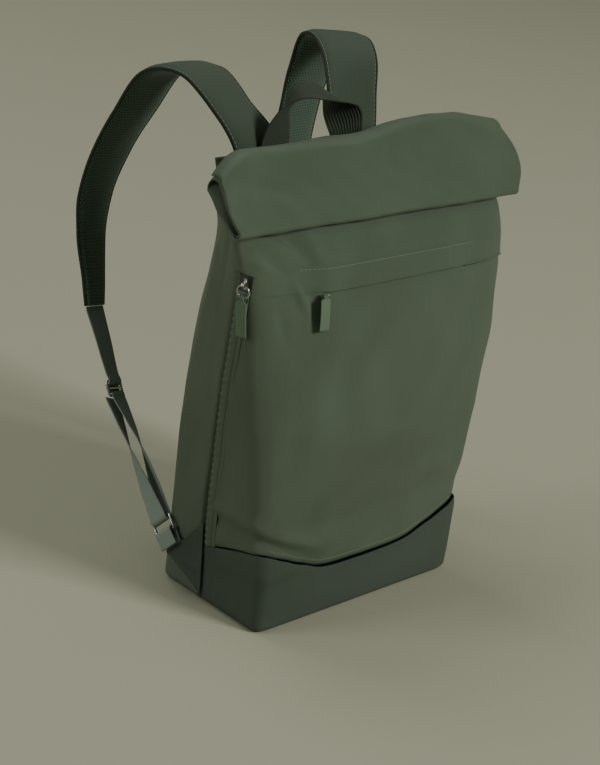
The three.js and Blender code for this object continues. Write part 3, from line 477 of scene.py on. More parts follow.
class Shader:
    """A material that is being put together from nodes."""

    def __init__(self, name: str) -> None:
        """Makes the material with its plain shader.

        Args:
            name: the material's name.
        """
        self.material = bpy.data.materials.new(name)
        self.material.use_nodes = True
        self.tree = self.material.node_tree
        self.surface = self.tree.nodes["Principled BSDF"]

    def set(self, **values: object) -> None:
        """Sets the surface's own sockets; underscores in the names stand for spaces."""
        for name, value in values.items():
            self.surface.inputs[name.replace("_", " ")].default_value = value

    def add(self, kind: str, inputs: dict | None = None, **settings: object) -> bpy.types.Node:
        """Adds a node.

        Args:
            kind: the node's type, without its ShaderNode prefix.
            inputs: for each socket's name or number, a value or the socket to link it to.
            settings: the node's own settings.

        Returns:
            The node.
        """
        node = self.tree.nodes.new("ShaderNode" + kind)
        for name, value in settings.items():
            setattr(node, name, value)
        for key, value in (inputs or {}).items():
            if isinstance(value, bpy.types.NodeSocket):
                self.tree.links.new(value, node.inputs[key])
            else:
                node.inputs[key].default_value = value
        return node

    def math(self, operation: str, *values: object) -> bpy.types.NodeSocket:
        """The result of a sum on sockets and numbers."""
        return self.add("Math", dict(enumerate(values)), operation=operation).outputs[0]

    def link(self, socket: bpy.types.NodeSocket, name: str) -> None:
        """Links a socket to one of the surface's inputs."""
        self.tree.links.new(socket, self.surface.inputs[name])

    def noise(self, scale: float, detail: float = 2) -> bpy.types.NodeSocket:
        """A noise's value in the object's own coordinates, with the scale per metre."""
        place = self.add("TexCoord").outputs["Object"]
        return self.add("TexNoise", {"Vector": place, "Scale": scale, "Detail": detail}).outputs[0]

    def cloth_axes(self) -> tuple[bpy.types.NodeSocket, bpy.types.NodeSocket]:
        """The U and V of the cloth's own map, in metres."""
        split = self.add("SeparateXYZ", {0: self.add("UVMap", uv_map="cloth").outputs[0]})
        return split.outputs[0], split.outputs[1]

    def wave(self, along: bpy.types.NodeSocket, period: float) -> bpy.types.NodeSocket:
        """A sine wave along an axis, with its period in metres."""
        return self.math("SINE", self.math("MULTIPLY", along, 2 * math.pi / period))

    def tint(self, share: bpy.types.NodeSocket, dark: "Colour", light: "Colour") -> bpy.types.NodeSocket:
        """A colour between two by a share."""
        mix = self.add("Mix", {0: share, 6: (*dark, 1), 7: (*light, 1)}, data_type="RGBA")
        return mix.outputs[2]

    def bump(self, height: bpy.types.NodeSocket, depth: float) -> None:
        """Roughens the surface by a height that runs over a depth in metres."""
        node = self.add("Bump", {"Height": height, "Distance": depth, "Strength": 1.0})
        self.link(node.outputs[0], "Normal")


Colour = tuple[float, float, float]


def srgb(red: int, green: int, blue: int) -> Colour:
    """A colour given as it shows on a screen, in the linear values that the shaders take.

    Args:
        red: its red, from 0 to 255.
        green: its green.
        blue: its blue.

    Returns:
        The linear colour.
    """
    shares = np.array([red, green, blue]) / 255
    linear = np.where(shares <= 0.04045, shares / 12.92, ((shares + 0.055) / 1.055) ** 2.4)
    return tuple(float(part) for part in linear)


@dataclass(frozen=True)
class Finish:
    """A surface's look, and the record's slot that it belongs to."""

    name: str
    slot: str
    colour: Colour
    roughness: float = 0.6

    def material(self) -> bpy.types.Material:
        """The finish's material, made once.

        Returns:
            The material.
        """
        known = bpy.data.materials.get(self.name)
        if known:
            return known
        shader = Shader(self.name)
        shader.set(Roughness=self.roughness)
        self.build(shader)
        return shader.material

    def build(self, shader: Shader) -> None:
        """Puts the look together."""
        shader.set(Base_Color=(*self.colour, 1))

    def shades(self, dark: float, light: float) -> tuple[Colour, Colour]:
        """The colour times each of two factors."""
        return tuple(part * dark for part in self.colour), tuple(part * light for part in self.colour)


@dataclass(frozen=True)
class Canvas(Finish):
    """Woven cloth: a fine plain weave, faint mottling partly painted as satin sheen and shade blotches, and a soft
    sheen.
    """

    thread: float = 0.0007
    depth: float = 0.00012
    mottle: float = 0.2
    broad_scale: float = 8
    broad_share: float = 0.55
    slow_scale: float = 22
    slow_share: float = 0.2
    fine_scale: float = 1600
    fine_share: float = 0.25
    fuzz_scale: float = 260
    fuzz: float = 2.5
    sheen: float = 0.04
    sheen_roughness: float = 0.45
    gloss: float = 0.32

    def build(self, shader: Shader) -> None:
        """Crosses two sine waves for the threads, and mottles the colour with a broad, a slow and a fine noise; the
        broad noise paints blotches of satin sheen and shade.

        Args:
            shader: the material that is being put together.
        """
        u, v = shader.cloth_axes()
        weave = shader.math("MULTIPLY", shader.wave(u, self.thread), shader.wave(v, self.thread))
        slow = shader.math("MULTIPLY", shader.noise(self.slow_scale, 4), self.slow_share)
        fine = shader.math("MULTIPLY", shader.noise(self.fine_scale, 1), self.fine_share)
        # painted sheen and shade: broad lighter and darker blotches for the satin cloth's highlights
        broad = shader.math("MULTIPLY", shader.noise(self.broad_scale, 1), self.broad_share)
        share = shader.math("ADD", broad, shader.math("ADD", slow, fine))
        dark, light = self.shades(1 - 2 * self.mottle, 1 + 2 * self.mottle)
        shader.link(shader.tint(share, dark, light), "Base Color")
        uneven = shader.math("MULTIPLY_ADD", shader.noise(self.fuzz_scale, 3), self.fuzz, weave)
        shader.bump(uneven, self.depth)
        shader.set(Sheen_Weight=self.sheen, Sheen_Roughness=self.sheen_roughness, Specular_IOR_Level=self.gloss)


@dataclass(frozen=True)
class SpacerMesh(Finish):
    """Knitted spacer mesh: rows of small open cells with raised rims, with painted shade in the cells."""

    cell: float = 0.0036
    hole_from: float = 1.4
    rim_from: float = 0.3
    dark: float = 0.25
    light: float = 1.15
    depth: float = 0.0009
    sheen: float = 0.15

    def build(self, shader: Shader) -> None:
        """Darkens and sinks the middle of each cell of a hexagonal pattern: the darkening is painted shade in the
        cells, and the lighter rims a painted highlight.

        Args:
            shader: the material that is being put together.
        """
        u, v = shader.cloth_axes()
        row = shader.wave(v, self.cell)
        skew = shader.wave(shader.math("ADD", u, shader.math("MULTIPLY", v, 0.5)), self.cell)
        other = shader.wave(shader.math("SUBTRACT", u, shader.math("MULTIPLY", v, 0.5)), self.cell)
        cells = shader.math("ADD", shader.math("ADD", row, skew), other)
        limits = {1: self.rim_from, 2: self.hole_from, 3: 1.0, 4: 0.0}
        share = shader.add("MapRange", {0: cells, **limits}).outputs[0]
        # painted shade in the cells' middles and painted highlight on the rims
        shader.link(shader.tint(share, *self.shades(self.dark, self.light)), "Base Color")
        shader.bump(share, self.depth)
        shader.set(Sheen_Weight=self.sheen)


@dataclass(frozen=True)
class Webbing(Finish):
    """Woven webbing: ribs along its length, crossed by fine picks, with painted shade in the furrows."""

    rib: float = 0.0023
    pick: float = 0.0011
    pick_share: float = 0.35
    furrow: float = -1.2
    crown: float = 0.8
    dark: float = 0.55
    light: float = 1.15
    depth: float = 0.0005
    sheen: float = 0.05
    gloss: float = 0.22

    def build(self, shader: Shader) -> None:
        """Crosses rib and pick waves, and darkens the furrows between the ribs as painted shade, lightening the
        crowns as painted highlight.

        Args:
            shader: the material that is being put together.
        """
        u, v = shader.cloth_axes()
        ribs = shader.wave(u, self.rib)
        height = shader.math("MULTIPLY_ADD", shader.wave(v, self.pick), self.pick_share, ribs)
        share = shader.add("MapRange", {0: height, 1: self.furrow, 2: self.crown}).outputs[0]
        # painted shade in the furrows and painted highlight on the rib crowns
        shader.link(shader.tint(share, *self.shades(self.dark, self.light)), "Base Color")
        shader.bump(share, self.depth)
        shader.set(Sheen_Weight=self.sheen, Specular_IOR_Level=self.gloss)


@dataclass(frozen=True)
class Metal(Finish):
    """Plated metal with faint handling marks."""

    marks: float = 300
    smoothest: float = 0.16
    roughest: float = 0.34

    def build(self, shader: Shader) -> None:
        """Varies the roughness with a noise.

        Args:
            shader: the material that is being put together.
        """
        limits = {3: self.smoothest, 4: self.roughest}
        rough = shader.add("MapRange", {0: shader.noise(self.marks, 3), **limits}).outputs[0]
        shader.link(rough, "Roughness")
        shader.set(Base_Color=(*self.colour, 1), Metallic=1.0)


@dataclass(frozen=True)
class Coil(Finish):
    """A closed zip: a tape with a coil of fine teeth along its middle, with painted highlight on the teeth and
    painted shade between them.
    """

    tooth: float = 0.0016
    dark: float = 0.5
    light: float = 1.3
    depth: float = 0.0004

    def build(self, shader: Shader) -> None:
        """Lightens and raises a tooth at each period of the length: painted highlight on the teeth and painted
        shade between them.

        Args:
            shader: the material that is being put together.
        """
        _, v = shader.cloth_axes()
        share = shader.add("MapRange", {0: shader.wave(v, self.tooth), 1: -1.0}).outputs[0]
        # painted highlight on each tooth and painted shade in the gaps
        shader.link(shader.tint(share, *self.shades(self.dark, self.light)), "Base Color")
        shader.bump(share, self.depth)


@dataclass(frozen=True)
class Floor(Finish):
    """A plain pale floor with a barely uneven tone."""

    patch: float = 3
    uneven: float = 0.015
    gloss: float = 0.15

    def build(self, shader: Shader) -> None:
        """Mottles the colour very slowly.

        Args:
            shader: the material that is being put together.
        """
        dark, light = self.shades(1 - self.uneven, 1 + self.uneven)
        shader.link(shader.tint(shader.noise(self.patch), dark, light), "Base Color")
        shader.set(Specular_IOR_Level=self.gloss)


MAIN = Canvas("main canvas", "main_cloth", srgb(80, 94, 75), 0.42)
# darker than the main canvas: partly the base cloth's own tone, partly painted shade on the lower parts near the
# floor; on the anchor wings the darker colour is painted shade
SHADED_BASE = Canvas("base canvas", "base_cloth", srgb(60, 73, 60), 0.5)
STRAP = Canvas("strap cloth", "strap_cloth", srgb(62, 75, 60), 0.6)
MESH = SpacerMesh("spacer mesh", "spacer_mesh", srgb(60, 83, 66), 0.75)
BINDING = Webbing("binding", "strap_cloth", srgb(40, 51, 41), 0.7, rib=0.0017)
WEBBING = Webbing("webbing", "webbing", srgb(52, 65, 48), 0.65)
# a slightly darker copy of the webbing colour: painted shade that tones down the top light on the handle; its
# broader ribs are the handle's own
HANDLE_WEBBING = Webbing("handle webbing", "webbing", srgb(51, 61, 47), 0.8, rib=0.0032, depth=0.0008)
TAPE = Webbing("pull tape", "pull_tape", srgb(102, 121, 100), 0.6, rib=0.0012, depth=0.0003)
THREAD = Finish("thread", "main_cloth", srgb(124, 136, 110), 0.5)
METAL = Metal("strap metal", "metal", srgb(168, 170, 162))
ZIP_METAL = Metal("zip metal", "zip_metal", srgb(176, 178, 170))
ZIP_COIL = Coil("zip coil", "main_cloth", srgb(38, 46, 36), 0.5)
FLOOR = Floor("floor", "main_cloth", srgb(161, 161, 140), 0.85)


class Piece:
    """A mesh made from arrays, with its UV map in metres and its material slots."""

    def __init__(self, name: str, points: Array, quads: Array, uv: Array | None = None) -> None:
        """Makes the object.

        Args:
            name: the piece's name.
            points: its points, in millimetres.
            quads: its faces, as four point numbers each.
            uv: a U and V for each point, in metres along the cloth.
        """
        mesh = bpy.data.meshes.new(name)
        mesh.from_pydata((points.reshape(-1, 3) * MM).tolist(), [], quads.tolist())
        mesh.polygons.foreach_set("use_smooth", np.ones(len(quads), bool))
        if uv is not None:
            layer = mesh.uv_layers.new(name="cloth")
            corners = np.empty(len(mesh.loops), np.int32)
            mesh.loops.foreach_get("vertex_index", corners)
            layer.data.foreach_set("uv", uv.reshape(-1, 2)[corners].ravel())
        mesh.update()
        self.object = bpy.data.objects.new(name, mesh)
        bpy.context.scene.collection.objects.link(self.object)

    def solidify(self, thickness: float) -> "Piece":
        """Gives the surface a wall of that many millimetres behind its face.

        Args:
            thickness: the wall, in millimetres.

        Returns:
            The piece.
        """
        wall = self.object.modifiers.new("wall", "SOLIDIFY")
        wall.thickness, wall.offset = thickness * MM, -1
        return self

    def parts(self, numbers: Array) -> "Piece":
        """Gives each face the number of its finish."""
        self.object.data.polygons.foreach_set("material_index", numbers.astype(np.int32).ravel())
        return self

    def dress(self, *finishes: Finish, replaces: Sequence[str] = ()) -> "Piece":
        """Gives the piece its finishes and its body, and hides the frame's nodes that it stands for.

        Args:
            finishes: the finishes of the material slots.
            replaces: the frame's nodes that it stands for.

        Returns:
            The piece.
        """
        for finish in finishes:
            self.object.data.materials.append(finish.material())
        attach(self.object, "root")
        if replaces:
            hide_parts(*replaces)
        LOG.info("%s: %d faces", self.object.name, len(self.object.data.polygons))
        return self


@dataclass
class Stitches:
    """Rows of thread stitches that lie half sunk in the cloth."""

    length: float = 3.2
    gap: float = 1.6
    radius: float = 0.42
    end_share: float = 0.35
    shoulder: float = 0.32
    middles: list[Array] = field(default_factory=list)
    alongs: list[Array] = field(default_factory=list)
    outs: list[Array] = field(default_factory=list)

    def row(self, line: Array, out: Array) -> None:
        """Adds a row along a line.

        Args:
            line: the line's points, in millimetres.
            out: the way out of the cloth at each point.
        """
        reach = steps_along(line).cumsum()
        at = np.arange(self.length, reach[-1] - self.length, self.length + self.gap)
        tables = (line, np.gradient(line, axis=0), out)
        columns = [[np.interp(at, reach, values) for values in table.T] for table in tables]
        middle, along, normal = (np.stack(column, axis=-1) for column in columns)
        self.middles.append(middle)
        self.alongs.append(unit(along))
        self.outs.append(square_to(normal, unit(along)))

    def piece(self, name: str, finish: Finish) -> Piece:
        """All the rows as one piece: each stitch is four square rings, the outer two narrower.

        Args:
            name: the piece's name.
            finish: the thread's finish.

        Returns:
            The piece.
        """
        middle, along, out = (np.concatenate(rows) for rows in (self.middles, self.alongs, self.outs))
        across = np.cross(along, out)
        places = np.array([-0.5, -self.shoulder, self.shoulder, 0.5]) * self.length
        widths = np.array([self.end_share, 1, 1, self.end_share]) * self.radius
        turns = np.deg2rad([45, 135, 225, 315])
        step = places[None, :, None, None] * along[:, None, None]
        side = np.cos(turns)[:, None] * across[:, None, None] + np.sin(turns)[:, None] * out[:, None, None]
        rings = middle[:, None, None] + step + widths[None, :, None, None] * side
        one = outward_quads(rings[0], loft_quads(4, 4))
        quads = (one[None] + 16 * np.arange(len(middle))[:, None, None]).reshape(-1, 4)
        return Piece(name, rings, quads).dress(finish)


class Skin:
    """The body's surface: every level is a front and a back half outline about the side seams."""

    STEPS = 160

    def __init__(self, sizes: Sizes) -> None:
        """Turns the levels' shares into millimetres.

        Args:
            sizes: the shared sizes.
        """
        self.sizes = sizes
        rows = np.array(LEVELS, float)
        scale = [sizes.base_width, *[sizes.base_depth] * 3, 1, 1, 1]
        self.heights, self.rows = rows[:, 0] * sizes.top_height, rows[:, 1:] * scale

    def outline(self, face: Face, z: Array, inset: Array) -> tuple[Array, Array]:
        """Half of a level's outline for each height.

        Depth is the sine to the power of two over the corner's squareness, and the width the cosine to that power,
        narrowed on the back half by the taper times the depth.

        Args:
            face: which half.
            z: the heights.
            inset: how far inside the skin.

        Returns:
            The points on a new last-but-one axis, and the length to each.
        """
        half, seam, front, back, front_corner, back_corner, taper = np.moveaxis(
            smooth_rows(self.heights, self.rows, z)[..., None], -2, 0
        )
        inset = np.asarray(inset)[..., None]
        is_front = face is Face.FRONT
        power = 2 / (front_corner if is_front else back_corner)
        middle = front + inset if is_front else back - inset
        angle = np.linspace(0, math.pi, self.STEPS + 1)
        depth = np.abs(np.sin(angle)) ** power
        narrowed = 1 if is_front else 1 - taper * depth
        x = -np.sign(np.cos(angle)) * np.abs(np.cos(angle)) ** power * (half - inset) * narrowed
        y = seam + depth * (middle - seam)
        points = np.stack([x, y, np.broadcast_to(z[..., None], x.shape)], axis=-1)
        steps = np.linalg.norm(np.diff(points, axis=-2, prepend=points[..., :1, :]), axis=-1)
        return points, steps.cumsum(axis=-1)

    @staticmethod
    def along(points: Array, lengths: Array, target: Array) -> Array:
        """The places of outlines at a length along each, mixed from the two points around it.

        Args:
            points: the outlines.
            lengths: the length to each of their points.
            target: the length to find on each outline.

        Returns:
            The places.
        """
        after = np.clip((lengths < target[..., None]).sum(axis=-1), 1, lengths.shape[-1] - 1)[..., None]
        low, high = (np.take_along_axis(lengths, at, -1)[..., 0] for at in (after - 1, after))
        start, end = (np.take_along_axis(points, at[..., None], -2)[..., 0, :] for at in (after - 1, after))
        share = (target - low) / np.maximum(high - low, 1e-9)
        return start + share[..., None] * (end - start)

    def at_length(self, z: Array, length: Array, inset: Array | float = 0.0) -> Array:
        """Places on the front half at a length round from the left seam."""
        z, length, inset = np.broadcast_arrays(z, length, inset)
        return self.along(*self.outline(Face.FRONT, z, inset), length)

    def at(self, face: Face, z: Array, share: Array, inset: Array | float = 0.0, left: Array | float = 0.4,
           right: float = 0.4) -> Array:
        """Places on the skin.

        A share runs from -1 at the left seam to 1 at the right one, with the corners at the corner's share.

        Args:
            face: which half.
            z: the heights.
            share: the shares of the half outline.
            inset: how far inside the skin.
            left: the gap to keep from the left seam.
            right: the gap to keep from the right seam.

        Returns:
            The places.
        """
        z, share, inset, left = np.broadcast_arrays(z, share, inset, left)
        points, lengths = self.outline(face, z.astype(float), inset)
        corner, total = lengths[..., self.STEPS // 4], lengths[..., -1]
        margin, reach, edge = np.where(share < 0, left, right), np.abs(share), self.sizes.corner
        outer = margin + (corner - margin) * (1 - reach) / (1 - edge)
        inner = corner + (total / 2 - corner) * (edge - reach) / edge
        from_seam = np.where(reach > edge, outer, inner)
        return self.along(points, lengths, np.where(share < 0, from_seam, total - from_seam))

    def band_top(self, share: Array) -> Array:
        """The height of the base band's upper seam."""
        return smooth_value(BAND_SEAM, np.abs(share)) * self.sizes.band_height

    def band_top_at(self, length: Array) -> Array:
        """The height of the band's upper seam at a length round from the left seam."""
        corner = self.outline(Face.FRONT, np.array(self.sizes.band_height), 0.0)[1][self.STEPS // 4]
        return self.band_top(1 - (1 - self.sizes.corner) * length / corner)

    def frame(self, z: float, length: float) -> "Frame":
        """A frame on the front half: a place, the way across, the way up and the way out.

        Args:
            z: the place's height.
            length: its length round from the left seam.

        Returns:
            The frame.
        """
        step = 1.0
        heights = np.array([z, z, z, z + step, z - step])
        arcs = np.array([length, length + step, length - step, length, length])
        place, right, left, above, below = self.at_length(heights, arcs)
        across = unit(right - left)
        out = unit(np.cross(across, above - below))
        return Frame(place, across, np.cross(out, across), out)


def crest_rise(x: Array) -> Array:
    """How much the roll's crest lifts the cloth at an X, in millimetres."""
    return smooth_value(CREST, np.clip(x / (Roll.length / 2), -1, 1)) * Roll.span


def lift_neck(points: Array, sizes: Sizes) -> Array:
    """Lifts the neck's places: by nothing at the back panel's top and by the whole crest at the roll.

    Args:
        points: places on the neck's or the front's cloth.
        sizes: the shared sizes.

    Returns:
        The lifted places.
    """
    share = ramp((points[..., 2] - sizes.back_height) / sizes.neck_rise)
    lifted = points.copy()
    lifted[..., 2] += crest_rise(points[..., 0]) * share
    return lifted


@dataclass(frozen=True)
class Frame:
    """A place with a way across, a way up and a way out."""

    place: Array
    across: Array
    up: Array
    out: Array

    def point(self, across: float, up: float, out: float) -> Array:
        """A place moved across, up and out of the frame."""
        return self.place + across * self.across + up * self.up + out * self.out


@dataclass
class Assembly:
    """A sub-assembly that is made on the body's skin."""

    skin: Skin

    @property
    def sizes(self) -> Sizes:
        """The shared sizes."""
        return self.skin.sizes


@dataclass
class Body(Assembly):
    """The cloth panels of the bag, each a dense grid on the skin with its folds and sunk seams."""

    stitches: Stitches
    slow_period: float = 120
    quick_period: float = 38
    quick_share: float = 0.4
    dip_breadth: float = 5
    calm_breadth: float = 9
    floor_gap: float = 0.2
    floor_turn: float = 2.6
    floor_turn_height: float = 7
    base_inset: float = 2.4
    base_rise: float = 1.6
    base_cloth: float = 1.2
    second_seam: float = 1.0
    second_seam_breadth: float = 1.3
    pocket_end: float = -104
    pocket_fade: float = 9
    lip_rise: float = 1.1
    lip_breadth: float = 7
    under_sink: float = 2.6
    under_breadth: float = 4.5
    slit_zone: float = 12
    yoke_stitch: float = 382
    yoke_stitch_end: float = 0.6
    band_stitch_end: float = 0.73
    stitch_seat: float = 0.12
    bulk_start: float = -132
    bulk_run: float = 52
    bulk_rise: float = 8
    bulk_zero: float = 0.7
    bulk_foot: float = 110
    bulk_foot_run: float = 90
    bulk_head: float = 20
    bulk_head_run: float = 80
    front_dip: float = 0.4
    front_swell: float = 1.3
    top_gap: float = 3.5
    top_tuck: float = 28
    side_top_gap: float = 25
    side_back_drop: float = 12
    side_tuck: float = 24
    side_tuck_from: float = 425
    side_tuck_run: float = 48
    side_seam: float = 3.6
    side_seam_breadth: float = 2.6
    pad_dip: float = 5.2
    pad_swell: float = 0.4
    pad_period: float = 90
    channel: float = 3.2
    channel_breadth: float = 13
    channel_foot: float = 30
    channel_head: float = 400
    channel_run: float = 40

    def relieved(self, grid: Array, folds: Sequence[Fold], across_axis: int, outward: int, dip: float, swell: float,
                 groove: Array | float) -> Array:
        """A panel's points with its relief.

        Every point moves along the normal by the folds, a slow and a quick ripple, and the dip at the edges.

        Args:
            grid: the panel's places on the skin.
            folds: the folds' table.
            across_axis: the axis that the folds' across is measured on.
            outward: 1 where the grid's normals look out, or -1.
            dip: how deep the edges sink.
            swell: how far the ripples rise.
            groove: a further rise at each point.

        Returns:
            The moved points.
        """
        relief = fold_relief(grid[..., across_axis], grid[..., 2], folds) + edge_dip(grid, dip, self.dip_breadth)
        uneven = ripple(grid, self.slow_period, 3) + self.quick_share * ripple(grid, self.quick_period, 5)
        relief += swell * uneven * (1 + edge_dip(grid, 1, self.calm_breadth))
        return grid + (outward * (relief + groove))[..., None] * grid_normals(grid)

    def panel(self, name: str, grid: Array, folds: Sequence[Fold], across_axis: int, outward: int, finish: Finish,
              dip: float = 1.1, swell: float = 0.7, groove: Array | float = 0.0,
              others: Sequence[str] = ()) -> Piece:
        """A panel of cloth, with its relief and its wall.

        Args:
            name: the node's name; the piece is called after it.
            grid: the panel's places on the skin.
            folds: the folds' table.
            across_axis: the axis that the folds' across is measured on.
            outward: 1 where the grid's normals look out, or -1.
            finish: the cloth's finish.
            dip: how deep the edges sink.
            swell: how far the ripples rise.
            groove: a further rise at each point.
            others: further nodes that the panel stands for.

        Returns:
            The piece.
        """
        points = self.relieved(grid, folds, across_axis, outward, dip, swell, groove)
        quads = grid_quads(*grid.shape[:2])[:, ::outward]
        piece = Piece(name + "_cloth", points, quads, cloth_uv(grid))
        return piece.solidify(self.sizes.cloth * 0.8).dress(finish, replaces=[name, *others])

    def shares(self, low: float, high: float, count: int) -> Array:
        """Evenly spread shares, as one row."""
        return np.linspace(low, high, count)[None, :]

    def rows(self, low: Array | float, high: Array | float, count: int) -> Array:
        """Heights from one to another in even steps, a row each."""
        part = np.linspace(0, 1, count)[:, None]
        return low + part * (high - low)

    def turned_under(self, z: Array) -> Array:
        """How far the cloth turns in near the floor: the square of the share of the turn's height still left."""
        return self.floor_turn * ramp(1 - z / self.floor_turn_height) ** 2

    def bottom(self) -> Piece:
        """The base: straight lines across from the outline's front half to its back half, raised off the floor.

        Returns:
            The piece.
        """
        share = self.shares(-1, 1, 90)
        front, back = (self.skin.at(face, np.zeros_like(share), share, self.base_inset) for face in Face)
        part = np.linspace(0, 1, 40)[:, None, None]
        grid = front + part * (back - front)
        grid[..., 2] += self.base_rise
        piece = Piece("bottom_panel_cloth", grid, grid_quads(*grid.shape[:2])[:, ::-1], cloth_uv(grid))
        return piece.solidify(self.base_cloth).dress(SHADED_BASE, replaces=["bottom_panel"])

    def band(self) -> Piece:
        """The base band, turned under a little at the floor, with a second seam below the zip cover's edge.

        Returns:
            The piece.
        """
        share = self.shares(-1, 1, 200)
        z = self.rows(self.floor_gap, self.skin.band_top(share), 60)
        grid = self.skin.at(Face.FRONT, z, share, self.turned_under(z))
        from_seam = steps_along(grid, 1).cumsum(axis=1)
        second = -self.second_seam * bell(from_seam - self.sizes.zip_width, self.second_seam_breadth)
        # the band's darker base canvas: partly its own tone, partly painted shade near the floor
        return self.panel("base_band", grid, BAND_FOLDS, 0, 1, SHADED_BASE, swell=0.5, groove=second)

    def front(self) -> Piece:
        """The front panel and the yoke in one sheet, as the cloth runs on beside the pocket's closed end.

        Below the slit the cloth sinks in a sharp step, deepest right under the yoke's edge, and the step fades out
        to the left of the pocket's end. From there the pocket's bulk rises to the right. The rows are closest
        together at the slit, and the top corners are lower, as they run in under the roll.

        Returns:
            The piece.
        """
        sizes, share = self.sizes, self.shares(-1, 1, 170)
        corner = self.skin.outline(Face.FRONT, np.array(sizes.band_height), 0.0)[1][Skin.STEPS // 4]
        cover = sizes.zip_width + sizes.seam_gap
        length = cover + (corner - cover) * (1 + share) / (1 - sizes.corner)
        start = np.where(share < -sizes.corner, self.skin.band_top_at(length), self.skin.band_top(share))
        slit, zone = sizes.slit_height, self.slit_zone
        tucked = self.top_tuck * ramp((np.abs(share) - sizes.corner) / (1 - sizes.corner))
        top = sizes.top_height - self.top_gap - tucked
        below = self.rows(start + sizes.seam_gap, slit - zone, 96)[:-1]
        fine = self.rows(slit - zone, np.full_like(share, slit + zone), 64)[:-1]
        z = np.concatenate([below, fine, self.rows(slit + zone, top, 48)])
        left = sizes.seam_gap + sizes.zip_width * ramp((sizes.zip_top + 2 - z) / 2)
        grid = self.skin.at(Face.FRONT, z, share, 0.0, left)
        forward = self.slit_step(grid[..., 0], z) + self.bulk(grid[..., 0], z)
        grid = lift_neck(grid - forward[..., None] * np.array([0.0, 1.0, 0.0]), sizes)
        points = self.relieved(grid, FRONT_FOLDS, 0, 1, self.front_dip, self.front_swell, 0.0)
        out = grid_normals(points)
        yoke_row = np.abs(z[:, z.shape[1] // 2] - self.yoke_stitch).argmin()
        for row, end in ((yoke_row, self.yoke_stitch_end), (2, self.band_stitch_end)):
            sewn = np.abs(share[0]) < end
            self.stitches.row(points[row, sewn] + self.stitch_seat * out[row, sewn], out[row, sewn])
        return self.panel("front_panel", grid, FRONT_FOLDS, 0, 1, MAIN, dip=self.front_dip, swell=self.front_swell,
                          others=["front_yoke"])

    def slit_step(self, x: Array, z: Array) -> Array:
        """How far the cloth stands forward at the pocket's slit.

        The yoke's lip rises just above the slit and the pocket sinks just below it. Both fade out exponentially
        with the distance from the slit, and towards the pocket's closed end.

        Args:
            x: each point's place across.
            z: each point's height.

        Returns:
            The way forward at each point, in millimetres.
        """
        slit = self.sizes.slit_height
        pocket = ramp((x - self.pocket_end) / self.pocket_fade)
        under = ramp((slit - z) / 0.5) * np.exp(-(np.maximum(slit - z, 0) / self.under_breadth))
        lip = ramp((z - slit + 0.2) / 0.4) * np.exp(-(np.maximum(z - slit, 0) / self.lip_breadth))
        return pocket * (self.lip_rise * lip - self.under_sink * under)

    def bulk(self, x: Array, z: Array) -> Array:
        """How far the pocket's bulk stands forward.

        It rises smoothly from left to right, as 3 t squared less 2 t cubed, and fades out at the foot and the top.

        Args:
            x: each point's place across.
            z: each point's height.

        Returns:
            The way forward at each point, in millimetres.
        """
        run = ramp((x - self.bulk_start) / self.bulk_run)
        foot = ramp((z - self.bulk_foot) / self.bulk_foot_run)
        head = ramp((self.sizes.top_height - self.bulk_head - z) / self.bulk_head_run)
        return self.bulk_rise * (run**2 * (3 - 2 * run) * foot * head - self.bulk_zero)

    def side(self, side: Side) -> Piece:
        """A side panel, from its seam back round the corner to the back panel, its top drawn in under the roll.

        Args:
            side: which of the two.

        Returns:
            The piece.
        """
        sizes = self.sizes
        share = side.value * self.shares(1, sizes.back_edge, 90)
        drop = self.side_back_drop * (1 - np.abs(share)) / (1 - sizes.back_edge)
        z = self.rows(self.floor_gap, sizes.top_height - self.side_top_gap - drop, 190)
        grid = self.skin.at(Face.BACK, z, share, self.turned_under(z))
        seam = -self.side_seam * bell(steps_along(grid, 1).cumsum(axis=1), self.side_seam_breadth)
        grid[..., 0] -= side.value * self.side_tuck * ramp((z - self.side_tuck_from) / self.side_tuck_run) ** 2
        name = f"{side.word}_side_panel"
        return self.panel(name, grid, SIDE_FOLDS, 1, side.value, MAIN, swell=0.9, groove=seam)

    def back(self) -> Piece:
        """The padded back panel in spacer mesh, crowned between its bound edges, with a sunk middle channel.

        Returns:
            The piece.
        """
        sizes = self.sizes
        share = self.shares(-sizes.back_edge, sizes.back_edge, 120)
        z = self.rows(self.base_inset, np.full_like(share, sizes.back_height), 160)
        grid = self.skin.at(Face.BACK, z, share)
        channel = -self.channel * bell(grid[..., 0], self.channel_breadth)
        channel = channel * ramp((self.channel_head - z) / self.channel_run)
        channel = channel * ramp((z - self.channel_foot) / self.channel_run)
        relief = edge_dip(grid, self.pad_dip, self.calm_breadth) + channel
        relief = relief + self.pad_swell * ripple(grid, self.pad_period, 8)
        out = -grid_normals(grid)
        inner = grid - out * (sizes.back_padding - 1)
        outer = grid + relief[..., None] * out
        points = np.concatenate([outer, inner[:, ::-1]], axis=1)
        uv = np.concatenate([cloth_uv(grid), cloth_uv(grid)[:, ::-1]], axis=1)
        quads = outward_quads(points, loft_quads(len(points), points.shape[1]))
        pad = Piece("back_panel_pad", points, quads, uv).dress(MESH, replaces=["back_panel"])
        return pad

    def build(self) -> None:
        """Makes every panel."""
        self.bottom()
        self.band()
        self.front()
        for side in Side:
            self.side(side)
        self.back()


